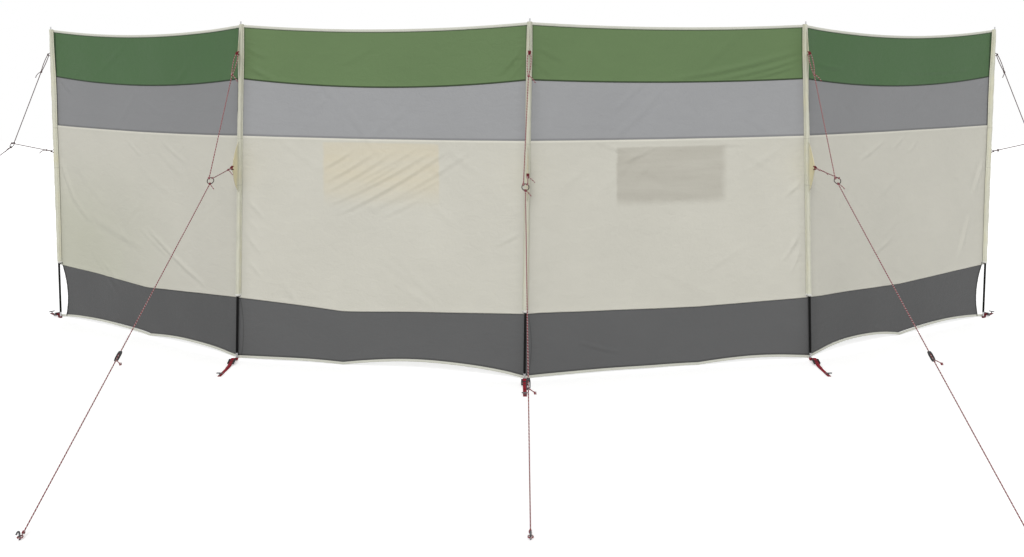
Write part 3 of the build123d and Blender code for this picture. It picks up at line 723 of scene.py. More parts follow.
class Finish:
    """A material. One method adds a node of any type, and maths on its outputs is written as expressions."""

    def __init__(self, name, owner=None):
        self.material = owner or bpy.data.materials.new(name)
        self.material.use_nodes = True
        self.nodes = self.material.node_tree.nodes
        self.links = self.material.node_tree.links
        self.nodes.clear()

    def add(self, kind, values=None, settings=None, output=0):
        """Adds a node: its settings first, then the values or links of its sockets; returns one output."""
        node = self.nodes.new(kind)
        for key, value in (settings or {}).items():
            setattr(node, key, value)
        for key, value in (values or {}).items():
            if isinstance(value, Signal):
                self.links.new(value.socket, node.inputs[key])
            elif node.inputs[key].type == "RGBA":
                node.inputs[key].default_value = (*value, 1.0)
            else:
                node.inputs[key].default_value = value
        return Signal(self, node.outputs[output]) if node.outputs else None

    def pattern(self):
        """The piece's own pattern coordinates, in metres."""
        return self.add("ShaderNodeUVMap", settings={"uv_map": "pattern"})

    def place(self):
        """Coordinates of the object, in metres."""
        return self.add("ShaderNodeTexCoord", output="Object")

    def mark(self, name):
        """A number that the mesh carries at its points."""
        return self.add("ShaderNodeAttribute", settings={"attribute_name": name}, output="Fac")

    def noise(self, vector, scale, detail=2.0, roughness=0.5, distortion=0.0):
        """Soft noise of a vector."""
        return self.add("ShaderNodeTexNoise", {
            "Vector": vector, "Scale": scale, "Detail": detail, "Roughness": roughness,
            "Distortion": distortion})

    def stretch(self, vector, scale, turn=0.0):
        """The coordinates turned about Z and scaled."""
        return self.add("ShaderNodeMapping", {"Vector": vector, "Rotation": (0.0, 0.0, turn), "Scale": scale})

    def mix(self, factor, first, second):
        """Colour between two colours."""
        return self.add("ShaderNodeMix", {0: factor, 6: first, 7: second}, {"data_type": "RGBA"}, output=2)

    def tint(self, colour, factor):
        """Colour times a number."""
        grey = self.add("ShaderNodeCombineXYZ", {0: factor, 1: factor, 2: factor})
        return self.add("ShaderNodeVectorMath", {0: colour, 1: grey}, {"operation": "MULTIPLY"})

    def shade(self, base, factor, tone):
        """The colour, taken towards its own tone by a factor."""
        return self.mix(factor, base, self.tint(base, tone))

    def bump(self, height, distance, normal=None):
        """Normal of a height, a distance high where it is 1, on top of another normal."""
        values = {"Height": height, "Distance": distance, "Strength": 1.0}
        if normal is not None:
            values["Normal"] = normal
        return self.add("ShaderNodeBump", values)

    def seen(self):
        """1 where the camera looks, straight or by way of something shiny or clear, and 0 elsewhere."""
        camera = self.add("ShaderNodeLightPath", output="Is Camera Ray")
        glossy = self.add("ShaderNodeLightPath", output="Is Glossy Ray")
        clear = self.add("ShaderNodeLightPath", output="Is Transmission Ray")
        return camera.top(glossy).top(clear)

    def close(self, shader):
        """Links the last shader to the output."""
        kind = "World" if isinstance(self.material, bpy.types.World) else "Material"
        self.add(f"ShaderNodeOutput{kind}", {"Surface": shader})
        return self.material

    def surface(self, base, roughness, normal, gloss=None, sheen=None, metallic=None):
        """Closes the material with a Principled shader; sheen is its weight and its roughness."""
        values = {"Base Color": base, "Roughness": roughness, "Normal": normal}
        if gloss is not None:
            values["Specular IOR Level"] = gloss
        if sheen is not None:
            values["Sheen Weight"], values["Sheen Roughness"] = sheen
        if metallic is not None:
            values["Metallic"] = metallic
        return self.close(self.add("ShaderNodeBsdfPrincipled", values))


def weave(finish):
    """Height of a plain weave: one yarn's wave times the other's, with a thicker yarn every eighth one."""
    across, up, _ = finish.pattern().parts()
    plain = (across * (2 * pi / YARN)).sin() * (up * (2 * pi / YARN)).sin()
    grid = 8 * YARN
    lines = [(way * (pi / grid)).sin().abs().ease(0.10, 0.02) for way in (across, up)]
    return plain * 0.5 + (lines[0] + lines[1])


def stitches(finish, along, beside, place, pitch=0.0035):
    """Row of stitches at a distance from an edge: a thin line cut into dashes."""
    line = (beside - place).abs().ease(0.0007, 0.0003)
    return line * (along * (2 * pi / pitch)).sin().ease(-0.5, 0.1)


def pocket_shade_strength(finish, pattern, pocket):
    """How strongly the painted shade of a pocket shows through the cloth: inside its fading edges, in
    slanting streaks.
    """
    left, right, low, high, strength, side_fade, foot_fade = pocket
    across, up, _ = pattern.parts()
    wobble = (finish.noise(pattern, 22.0, 3.0, 0.6) - 0.5) * (0.012 + side_fade * 0.5)
    x = across + wobble
    inside = x.ease(left - 0.006, left + 0.010) * x.ease(right + side_fade, right - side_fade)
    inside = inside * (up + wobble).ease(low - foot_fade * 0.3, low + foot_fade)
    inside = inside * (up + wobble * 0.4).ease(high + 0.006, high - 0.004)
    slant = finish.noise(finish.stretch(pattern, (3.0, 22.0, 1.0), 0.53), 1.0, 3.0, 0.6)
    return inside * (0.45 + slant * 0.9) * strength


def cloth_finish(name, colour, seams, pocket=None, patch=None, drift=None, hem=None, side_line=None):
    """Thin ripstop cloth. Its tone drifts over broad patches and is painted darker near the poles as shade,
    fine crumples and the weave are bump, and each sewn edge shows its doubled cloth, a thin shadow and two
    rows of stitches. seams are the width and tone of the doubled cloth at the foot and at the head, tones
    that are partly painted shade and highlight, pocket is the place of the pocket behind and patch the
    colour of its painted shade seen through the cloth, drift a colour that the cloth takes towards its left
    foot, hem the place of a hem's line, and side_line the place, half-width and strength of the dark line
    of painted shade beside a sleeve."""
    finish = Finish(name)
    pattern = finish.pattern()
    across, up, _ = pattern.parts()
    edges = [finish.mark("from_foot"), finish.mark("from_head")]
    side = finish.mark("from_side")
    broad = finish.noise(pattern, 2.6, 3.0, 0.55)
    patchy = finish.noise(finish.stretch(pattern, (1.0, 2.2, 1.0)), 9.0, 4.0, 0.6, 0.6)
    # The tone drifts at random, and is painted darker near the poles as shade beside the sleeves
    tone = 1.0 + (broad - 0.5) * 0.10 + (patchy - 0.5) * 0.07 - side.ease(0.060, 0.012) * 0.07
    base = finish.tint(colour, tone)
    if drift is not None:
        away = across.ease(1.0, 0.15) * up.ease(0.95, 0.40)
        base = finish.mix(away * (0.4 + broad), base, finish.tint(drift, tone))
    # Painted shade of the pocket behind, as it shows through the thin cloth
    if pocket is not None:
        base = finish.mix(pocket_shade_strength(finish, pattern, pocket), base, patch)
    # Doubled cloth at each seam; its tone is partly painted shade and highlight along the seam
    for edge, (width, seam_tone) in zip(edges, seams):
        base = finish.shade(base, edge.ease(width + 0.0006, width - 0.0006), seam_tone)
    shadow = edges[0].ease(0.0012, 0.0002) + edges[1].ease(0.0012, 0.0002)
    base = finish.shade(base, shadow.low(1.0) * 0.55, 0.45)
    sewn = sum(stitches(finish, across, edge, row) for edge in edges for row in STITCH_ROWS)
    if hem is not None:
        rise = (up - BEIGE_FOOT / 2) * 8.0
        line = (across - hem + rise * rise * 0.012).abs()
        base = finish.shade(base, line.ease(0.0022, 0.0010) * 0.65, 0.45)
        sewn = sewn + stitches(finish, up, line, 0.0035)
    # Painted shade: a dark line beside the sleeve
    if side_line is not None:
        place, width, strength = side_line
        base = finish.shade(base, (side - place).abs().ease(width, width * 0.4) * strength, 0.30)
    base = finish.shade(base, sewn.low(1.0) * 0.5, 0.62)
    crumple = finish.noise(finish.stretch(pattern, (1.0, 1.6, 1.0), 0.6), 16.0, 5.0, 0.58, 0.9)
    fine = finish.noise(finish.stretch(pattern, (1.4, 1.0, 1.0), -0.5), 55.0, 3.0, 0.55, 0.4)
    normal = finish.bump(fine, 0.0006, finish.bump(crumple, 0.0019))
    normal = finish.bump(weave(finish) + sewn * 0.8, 0.00007, normal)
    return finish.surface(base, 0.56 + (patchy - 0.5) * 0.12, normal, 0.28, (0.08, 0.45))


def tape_finish(name, colour, ribs=RIBS):
    """Woven tape or cloth: fine ribs both ways, stitches and a shadow at its marked edge, and a slightly
    soiled tone."""
    finish = Finish(name)
    pattern = finish.pattern()
    across, along, _ = pattern.parts()
    grime = finish.noise(finish.place(), 7.0, 4.0, 0.6)
    cross = (along * (2 * pi / ribs)).sin() * 0.5 + (across * (2 * pi / ribs)).sin() * 0.35
    edge = finish.mark("from_edge")
    sewn = stitches(finish, along, edge, 0.0028, 0.0040)
    base = finish.tint(colour, 0.94 + (grime - 0.35) * 0.16)
    base = finish.shade(base, edge.ease(0.0014, 0.0) * 0.55, 0.55)
    base = finish.shade(base, sewn * 0.6, 0.66)
    normal = finish.bump(finish.noise(pattern, 60.0, 3.0), 0.0008)
    normal = finish.bump(cross + sewn, 0.00012, normal)
    return finish.surface(base, 0.72 + (grime - 0.5) * 0.1, normal, 0.3, (0.15, 0.5))


def sleeve_finish(name, colour):
    """Sleeve cloth: cream, yellower in faint patches and, as painted light, where the rope draws it out, with
    a soft dark line of painted shade along the pole and two seams across it, gathered along both sewn edges,
    which carry painted shade, with a white hem at its foot."""
    finish = Finish(name)
    pattern = finish.pattern()
    _, up, _ = pattern.parts()
    edge = finish.mark("from_edge")
    place = finish.place()
    blotch = finish.noise(place, 11.0, 4.0, 0.6)
    long_blotch = finish.noise(finish.stretch(pattern, (30.0, 7.0, 1.0)), 1.0, 3.0, 0.6)
    yellow = (colour[0] * 1.04, colour[1] * 0.97, colour[2] * 0.76)
    base = finish.tint(colour, 0.95 + (blotch - 0.4) * 0.2)
    base = finish.mix(long_blotch.ease(0.45, 0.75) * 0.5, base, yellow)
    # Painted light: a brighter, warmer yellow where the rope draws the sleeve out
    base = finish.mix(finish.mark("drawn_out").ease(0.002, 0.030) * 0.9, base, (0.86, 0.78, 0.50))
    # Painted shade: a soft dark line along the middle, where the cloth is drawn against the pole
    groove_shade = (finish.mark("from_middle") + (blotch - 0.5) * 0.006).ease(0.0030, 0.0006)
    base = finish.shade(base, groove_shade * 0.28, 0.62)
    upper_seam = (up - 0.955).abs().ease(0.0035, 0.0015)
    lower_seam = (up - 0.757).abs().ease(0.0030, 0.0015)
    base = finish.shade(base, (upper_seam + lower_seam) * 0.4, 0.7)
    sewn = stitches(finish, up, edge, 0.0030)
    base = finish.shade(base, sewn * 0.55, 0.6)
    # Painted shade along both sewn edges
    base = finish.shade(base, edge.ease(0.0014, 0.0) * 0.6, 0.5)
    hem = up.ease(BEIGE_FOOT + 0.010, BEIGE_FOOT + 0.008)
    base = finish.mix(hem * 0.8, base, (0.80, 0.79, 0.76))
    gather = (up * (2 * pi / 0.012) + blotch * 7.0).sin() * edge.ease(0.012, 0.002)
    normal = finish.bump(finish.noise(finish.stretch(place, (1.0, 1.0, 0.45)), 42.0, 4.0, 0.6, 0.5), 0.0022)
    normal = finish.bump(gather, 0.0005, normal)
    normal = finish.bump(weave(finish) + sewn, 0.00008, normal)
    return finish.surface(base, 0.62 + (blotch - 0.5) * 0.1, normal, 0.3, (0.15, 0.5))


def cord_finish(name, colour, fleck, fleck_pitch, diameter):
    """Braided cord: slanting yarns run both ways round it with painted shade between them, and a light
    tracer yarn shows as flecks.
    """
    finish = Finish(name)
    around, along, _ = finish.pattern().parts()
    turn = around * (2 / diameter)
    right = (turn * 4.0 + along * (2 * pi / BRAID)).sin()
    left = (turn * 4.0 - along * (2 * pi / BRAID)).sin()
    braid = right.top(left)
    tracer = (along * (2 * pi / fleck_pitch) + turn).sin().ease(0.45, 0.75)
    wear = finish.noise(finish.place(), 160.0, 2.0)
    # Painted shade: darker between the braid's yarns; the wear varies the tone at random
    base = finish.mix(tracer * 0.85, finish.tint(colour, 0.75 + braid * 0.2 + wear * 0.25), fleck)
    return finish.surface(base, 0.66 + (wear - 0.5) * 0.2, finish.bump(braid, 0.00035), 0.3, (0.25, 0.4))


def webbing_finish(name, colour):
    """Heavy webbing: a herringbone of ribs across it with painted shade between them, and worn high
    spots; painted shade makes it darker at the two end poles.
    """
    finish = Finish(name)
    across, along, _ = finish.pattern().parts()
    zigzag = (across * (2 * pi / ZIGZAG)).sin().abs() * 0.0015
    ribs = ((along + zigzag) * (2 * pi / RIBS)).sin()
    place = finish.place()
    wear = finish.noise(place, 90.0, 4.0, 0.6)
    # Painted shade: darker towards the two end poles
    outer = place.parts()[0].abs().ease(BAY_WIDTH * 1.3, BAY_WIDTH * 1.5)
    # Painted shade between the ribs; the wear lightens the tone at random
    base = finish.tint(colour, (0.72 + ribs * 0.12 + wear * 0.45) * (1.0 - outer * 0.6))
    return finish.surface(base, 0.62 + (wear - 0.5) * 0.2, finish.bump(ribs, 0.00022), 0.2, (0.04, 0.4))


def plastic_finish(name, colour):
    """Moulded plastic: a fine grain, and duller, paler scuffs."""
    finish = Finish(name)
    place = finish.place()
    grain = finish.noise(place, 900.0, 2.0)
    scuff = finish.noise(finish.stretch(place, (1.0, 1.0, 3.0)), 120.0, 4.0, 0.65)
    base = finish.mix(scuff.ease(0.58, 0.75) * 0.35, colour, (0.10, 0.10, 0.105))
    return finish.surface(base, 0.38 + scuff * 0.22, finish.bump(grain, 0.00006), 0.45)


def steel_finish(name, colour, dull=0.0):
    """Steel: fine upright scratches, brown stains that look less metallic, and a satin roughness."""
    finish = Finish(name)
    place = finish.place()
    scratch = finish.noise(finish.stretch(place, (900.0, 900.0, 60.0)), 1.0, 3.0, 0.6)
    stain = finish.noise(place, 60.0, 4.0, 0.6)
    base = finish.tint(colour, 0.75 + scratch * 0.25 + stain * 0.25)
    base = finish.mix(stain.ease(0.55, 0.75) * (0.35 + dull), base, (0.16, 0.14, 0.12))
    return finish.surface(base, 0.26 + scratch * 0.2 + dull, finish.bump(scratch, 0.00004),
                          metallic=1.0 - stain.ease(0.6, 0.8) * 0.4)


def pole_finish(name, colour):
    """Coated pole: near black, with an orange-peel skin and thin lengthwise rubs where the sleeve slides."""
    finish = Finish(name)
    place = finish.place()
    peel = finish.noise(place, 420.0, 2.0)
    rub = finish.noise(finish.stretch(place, (260.0, 260.0, 6.0)), 1.0, 4.0, 0.6)
    base = finish.mix(rub.ease(0.6, 0.8) * 0.4, colour, (0.030, 0.030, 0.032))
    return finish.surface(base, 0.42 + rub * 0.2, finish.bump(peel, 0.00008), 0.12)


def dress_node(node, material):
    """Gives a CAD node's object a finished material in place of its own."""
    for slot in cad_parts[node].material_slots:
        slot.material = material


def end_inset(level):
    """Share of an end bay's cloth that the skirt leaves free beside the end pole."""
    return (END_HEM + end_offset(level)) / SPAN


def band_grid(bay, lower, upper, rows, under=0.0, over=0.0, skirt=False):
    """Grid of one band between two edges, with the marks that its finish reads. The band runs past its edges
    by under and over, and it stands proud there so that it lies on its neighbour."""
    down, across = square(rows, COLUMNS)
    low = lower(bay, across) - under
    high = upper(bay, across) + over
    level = low + (high - low) * down
    place = across
    if skirt and bay in END_BAYS:
        inset = end_inset(level)
        place = across + inset * (1 - across) if bay == 0 else across * (1 - inset)
    raised = np.zeros_like(level)
    for past, away in ((under, level - low), (over, high - level)):
        if past:
            raised = raised + BAND_PROUD * ease(*SEAM_RUN, away)
    points = cloth_points(bay, place, level, raised)
    reach = reach_along(bay, points)
    marks = {
        "from_foot": level - low,
        "from_head": high - level,
        "from_side": beside_poles(bay, reach, level),
    }
    return (points, np.stack([reach, level], -1)), marks


class WINDBREAK_OT_bands(Operator):
    """Makes the sixteen bands of cloth, four to a bay, as sheets stretched between the poles."""

    bl_idname = "windbreak.bands"
    bl_label = "Cloth bands"

    def execute(self, context):
        settings = context.scene.windbreak_cloth
        overlap = settings.overlap
        edges = (
            (green_edge, binding_edge, 34, overlap, 0.0),
            (grey_edge, green_edge, 36, 0.0, 0.0),
            (beige_edge, grey_edge, 96, overlap, overlap),
            (skirt_edge, beige_edge, 36, 0.0, 0.0),
        )
        finishes = [self.finishes(settings, bay) for bay in BAYS]
        for bay in BAYS:
            for (label, _, node, *_), edge, finish in zip(BANDS, edges, finishes[bay]):
                grid, marks = band_grid(bay, *edge, label == "skirt")
                piece = add_piece(
                    f"{label}_cloth_bay_{bay + 1}", [grid], finish,
                    [f"{node}_{bay + 1}"], closed=False, thickness=settings.thickness, marks=marks)
        return {"FINISHED"}

    def finishes(self, settings, bay):
        """The finishes of a bay's bands. The end bays' own tones are painted shade, the two middle bays show
        their pockets through the beige cloth as painted shade, and their skirts have a hem beside the left
        pole."""
        low = POCKET_TOP - POCKET_HEIGHT
        at_end = bay in END_BAYS
        # Painted shade of the pockets behind: warm in the second bay and darker in the third
        warm = {"pocket": (0.400, 0.905, low, POCKET_TOP, 0.66, 0.006, 0.110), "patch": (0.655, 0.592, 0.440)}
        dark = {"pocket": (0.388, 0.862, low + 0.002, POCKET_TOP - 0.014, 0.80, 0.020, 0.034),
                "patch": (0.455, 0.436, 0.375)}
        drift = {"drift": tuple(value * share for value, share in zip(settings.beige, (0.82, 0.84, 0.78)))}
        # The end bays take darker copies of their cloth, as painted shade
        colours = (settings.shaded_end_green if at_end else settings.green, settings.light_grey, settings.beige,
                   settings.skirt)
        tones = (1.0, *settings.end_shade_tones) if at_end else (1.0, 1.0, 1.0, 1.0)
        details = (
            {"side_line": END_GREEN_SHADOW if at_end else GREEN_SHADOW},
            {"side_line": END_GREY_SHADOW if at_end else None},
            (drift, warm, dark, {})[bay],
            {"hem": SKIRT_HEM if bay in (1, 2) else None},
        )
        return [
            cloth_finish(f"{name}_{bay + 1}", tuple(tone * value for value in colour), seams, **detail)
            for (_, name, _, *seams), colour, tone, detail in zip(BANDS, colours, tones, details)]


def binding_grid(bay, lower, upper):
    """Tape folded over an edge: its section runs up the front, round the fold and down the back."""
    section = np.array([
        (0.0, -1.0), (0.0, 0.25), (0.25, 1.0), (0.62, 1.0), (0.90, 1.0), (1.0, 0.55),
        (1.0, -0.55), (0.90, -1.0), (0.62, -1.0), (0.25, -1.0), (0.0, -0.25), (0.0, -1.0)])
    share, out = section[:, :1], section[:, 1:]
    _, across = square(len(section), COLUMNS)
    low, high = lower(bay, across), upper(bay, across)
    level = low + (high - low) * share
    points = cloth_points(bay, across, level, out * TAPE_PROUD)
    return (points, np.stack([level, reach_along(bay, points)], -1)), high - level, level - low


class WINDBREAK_OT_bindings(Operator):
    """Makes the tapes that bind the top and bottom edges and the free ends of the skirt."""

    bl_idname = "windbreak.bindings"
    bl_label = "Bindings"

    def execute(self, context):
        settings = context.scene.windbreak_cloth
        cream = tape_finish("binding_tape", tuple(settings.tape))
        dark = tape_finish("end_tape", tuple(0.35 * value for value in settings.skirt))
        for name, node, lower, upper, fold_up in (
                ("top_binding_tape", "top_binding", binding_edge, top_edge, True),
                ("bottom_binding_tape", "bottom_binding", bottom_edge, skirt_edge, False)):
            grids, edges = [], []
            for bay in BAYS:
                grid, from_high, from_low = binding_grid(bay, lower, upper)
                grids.append(grid)
                edges.append((from_low if fold_up else from_high).ravel())
            piece = add_piece(name, grids, cream, [node], closed=False,
                              marks={"from_edge": np.concatenate(edges)})
        for name, bay, side in (("end_tape_left", 0, 1), ("end_tape_right", LAST_POLE - 1, -1)):
            self.end_tape(name, bay, side, dark)
        return {"FINISHED"}

    def end_tape(self, name, bay, side, material):
        """Tape folded over the hollow edge of the skirt: a flat loop carried up along the edge."""
        level = np.linspace(HEM_CLEARANCE + BINDING_HEIGHT * 0.6, BEIGE_FOOT + 0.004, 60)
        inset = end_inset(level)
        path = cloth_points(bay, inset if bay == 0 else 1 - inset, level)
        along = heading(BAY_HEADINGS[bay]) * side
        turn = np.linspace(0, 2 * pi, 17)
        flat = np.stack(oblong(turn, END_TAPE_HALF, 0.0010, 0.5, 0.5), -1)
        place = carry(path + along * 0.003, along, flat)
        edge = np.abs(flat[:, 0] + END_TAPE_HALF)[None] + 0 * level[:, None]
        piece = add_piece(name, [(place, pattern_of(turn * 0.003, level))], material,
                          closed=False, marks={"from_edge": edge})


def sleeve_halves(pole, level):
    """Half-widths of a sleeve left and right of its pole, at each level."""
    pulled, plain, inner = (
        np.interp(level, SLEEVE_LEVELS, halves) for halves in (SLEEVE_PULLED, SLEEVE_PLAIN, SLEEVE_INNER))
    side = SLEEVE_SIDES[pole]
    left = pulled if side < 0 else inner if pole == LAST_POLE else plain
    right = pulled if side > 0 else inner if pole == 0 else plain
    return left, right


def fin_height(pole, level):
    """How far the ropes draw the sleeve out: most beside a tab, and less with the distance from it."""
    fin = 0 * level
    for tab, pull in zip((LOWER_TAB, UPPER_TAB), SLEEVE_PULLS[pole]):
        away = np.maximum(np.abs(level - tab) - TAB_HEIGHT / 2, 0)
        fin = fin + pull * np.clip(1 - away / (FIN_HEIGHT / 2), 0, 1) ** 0.6
    return fin


def sleeve_arch(pole, axis, level, left_half, right_half):
    """Round of a sleeve over its pole, as half an ellipse with ripples, and how far each point is drawn out.
    Where the rope pulls, the columns crowd towards its direction and rise into a fin."""
    middle = sum(side_headings(pole)) / 2
    half = (left_half + right_half) / 2
    apex, columns = pi / 2 + 0 * half, 23
    if any(SLEEVE_PULLS[pole]):
        lean = radians(GUY_HEADINGS[pole] - middle + 90)
        apex, columns = np.arctan2(cos(lean) / CLOTH_SEAT, -sin(lean) / half), 37
    order = np.linspace(-1, 1, columns)[None]
    away = np.abs(order) ** 1.8
    turn = np.where(order < 0, apex * (1 - away), apex + (pi - apex) * away)
    lift = np.sin(turn) ** 0.9
    wave = 0.0004 * np.sin(2 * pi * level / 0.027 + 4 * np.sin(2 * pi * level / 0.19 + pole) + 2 * turn)
    slack = 0.0009 * np.sin(2 * pi * level / 0.11 + pole) * np.sin(turn) ** 2
    lateral = -np.where(turn < pi / 2, left_half, right_half) * np.cos(turn)
    forward = 0.0012 - CLOTH_SEAT + (2 * CLOTH_SEAT - 0.0008) * lift + (wave + slack) * lift
    arch = axis + heading(middle) * lateral[..., None] + -heading(middle + 90) * forward[..., None]
    drawn = fin_height(pole, level) * np.clip(1 - np.abs(order) / 0.45, 0, 1)
    return arch + heading(GUY_HEADINGS[pole]) * drawn[..., None], drawn


def sleeve_grid(pole):
    """Sleeve over a pole: from the left wing on the cloth, over the pole, to the right wing. Its top closes
    round the top pin."""
    level = np.linspace(BEIGE_FOOT, CLOTH_TOP + 0.0005, 160)[:, None]
    axis = axis_point(pole, level[:, 0])[:, None]
    halves = sleeve_halves(pole, level)
    arch, drawn = sleeve_arch(pole, axis, level, *halves)
    shares = np.array([[1.0, 0.55, 0.15]])
    wings = []
    for hand, half, angle, outward in zip((-1, 1), halves, side_headings(pole), (shares, shares[:, ::-1])):
        seat = axis + heading(angle + 90) * (CLOTH_SEAT - 0.0006)
        wings.append(seat + heading(angle) * (hand * (half + SLEEVE_WING * outward))[..., None])
    points = np.concatenate([wings[0], arch, wings[1]], axis=1)
    drawn = np.pad(drawn, ((0, len(CAP_STEPS)), (3, 3)))
    tip = axis_point(pole, CLOTH_TOP)
    cap = [tip + (points[-1:] - tip) * share + UP * rise for share, rise in CAP_STEPS]
    points = np.concatenate([points, *cap])
    level = np.concatenate([level[:, 0], np.full(len(cap), level[-1, 0] + 0.002)])
    steps = run_lengths(points[20])
    marks = {
        "from_edge": np.minimum(steps, steps[-1] - steps)[None] + 0 * level[:, None],
        "from_middle": np.abs(steps - steps[-1] / 2)[None] + 0 * level[:, None],
        "drawn_out": drawn,
    }
    return (points, pattern_of(steps, level)), marks, steps[-1], CLOTH_TOP - BEIGE_FOOT


class WINDBREAK_OT_sleeves(Operator):
    """Makes the five sleeves that hold the poles to the cloth."""

    bl_idname = "windbreak.sleeves"
    bl_label = "Pole sleeves"

    def execute(self, context):
        settings = context.scene.windbreak_cloth
        material = sleeve_finish("sleeve_cloth_finish", tuple(settings.sleeve))
        for pole in POLES:
            grid, marks, width, length = sleeve_grid(pole)
            piece = add_piece(
                f"sleeve_{pole + 1}", [grid], material, [f"pole_sleeve_{pole + 1}"],
                closed=False, thickness=settings.thickness, marks=marks)
        return {"FINISHED"}


class WINDBREAK_OT_pockets(Operator):
    """Makes the two storage pockets on the back of the beige cloth."""

    bl_idname = "windbreak.pockets"
    bl_label = "Storage pockets"

    def execute(self, context):
        settings = context.scene.windbreak_cloth
        material = tape_finish("pocket_cloth_finish", tuple(0.92 * value for value in settings.beige), 0.0011)
        names = ("storage_pocket_left", "storage_pocket_right")
        for node, (bay, start) in zip(names, POCKETS):
            down, across = square(44, 84)
            reach = start + POCKET_WIDTH * across
            left, right = reaches(bay, POCKET_TOP, corner)
            place = (reach - left) / (right - left)
            level = POCKET_TOP - POCKET_HEIGHT * (1 - down) - 0.006 * 4 * across * (1 - across) * down ** 3
            bulge = ease(0, 0.12, across) * ease(1, 0.88, across) * ease(0, 0.25, down)
            bulge = bulge * (0.55 + 0.45 * down) + 0.10 * np.sin(9 * across + 5 * down) * bulge
            points = cloth_points(bay, place, level, -0.0012 - 0.0030 * bulge)
            edge = np.minimum(np.minimum(across, 1 - across) * POCKET_WIDTH, (1 - down) * POCKET_HEIGHT)
            edge = np.minimum(edge, down * POCKET_HEIGHT)
            piece = add_piece(
                f"{node}_cloth", [(points, np.stack([reach, level], -1))], material, [node],
                closed=False, thickness=settings.thickness, marks={"from_edge": edge})
        return {"FINISHED"}


class WINDBREAK_OT_poles(Operator):
    """Gives the poles, their ferrules and their top pins finished materials."""

    bl_idname = "windbreak.poles"
    bl_label = "Poles"

    def execute(self, context):
        settings = context.scene.windbreak_fittings
        black = pole_finish("coated_pole", tuple(settings.pole))
        steel = steel_finish("pole_steel", tuple(settings.steel))
        for pole in POLES:
            dress_node(f"pole_{pole + 1}", black)
        dress_node("foot_ferrules", steel)
        dress_node("top_pins", steel)
        return {"FINISHED"}


def sleeve_front(pole):
    """Distance from a pole's axis to the front of its sleeve in the direction of the guy rope."""
    left, right = side_headings(pole)
    turn = radians(GUY_HEADINGS[pole] - (left + right) / 2 - 90)
    bow = SLEEVE_WIDTH ** 2 / (16 * CLOTH_SEAT)
    return bow * cos(turn) + ((CLOTH_SEAT + bow) ** 2 - (bow * sin(turn)) ** 2) ** 0.5


def guy_point(pole, reach, level):
    """Point in the upright plane of a guy rope, a reach out from the pole's foot."""
    return FEET[pole] + heading(GUY_HEADINGS[pole]) * reach + UP * level


def tab_point(pole, level, reach):
    """Point straight out from a leaning pole's axis in the direction of its guy rope."""
    return axis_point(pole, level) + heading(GUY_HEADINGS[pole]) * reach


def ring_frame(pole):
    """Centre of a ring, the direction to its lowest point and the direction to its side."""
    centre = guy_point(pole, RING_REACH, LOWER_TAB + RING_RISES[pole])
    down = heading(GUY_HEADINGS[pole]) * cos(radians(RING_TILT)) - UP * sin(radians(RING_TILT))
    return centre, down, heading(GUY_HEADINGS[pole] + 90)


def ring_point(pole, angle):
    """Point on the middle line of a ring's wire; 0 is the top, 180 the bottom."""
    centre, down, side = ring_frame(pole)
    return centre - down * (RING_RADIUS * cos(radians(angle))) + side * (RING_RADIUS * sin(radians(angle)))


def eye_reach(pole):
    """Reach of the middle of the main line's eye, which is pulled against its peg."""
    return GUY_REACHES[pole] - (EYE_RADIUS - EYE_GAP - PEG_RADIUS)


def main_line(pole):
    """Ends of the main line: at the foot of the ring and at the eye round the peg."""
    return ring_point(pole, 180), guy_point(pole, eye_reach(pole) - EYE_RADIUS, EYE_LEVEL)


def slider_place(pole):
    """Centre of a slider on its sagging main line, and the line's direction."""
    start, end = main_line(pole)
    share = SLIDER_SHARES[pole]
    sag = bpy.context.scene.windbreak_ropes.sag * 4 * share * (1 - share)
    return start + (end - start) * share - UP * sag, unit(end - start)


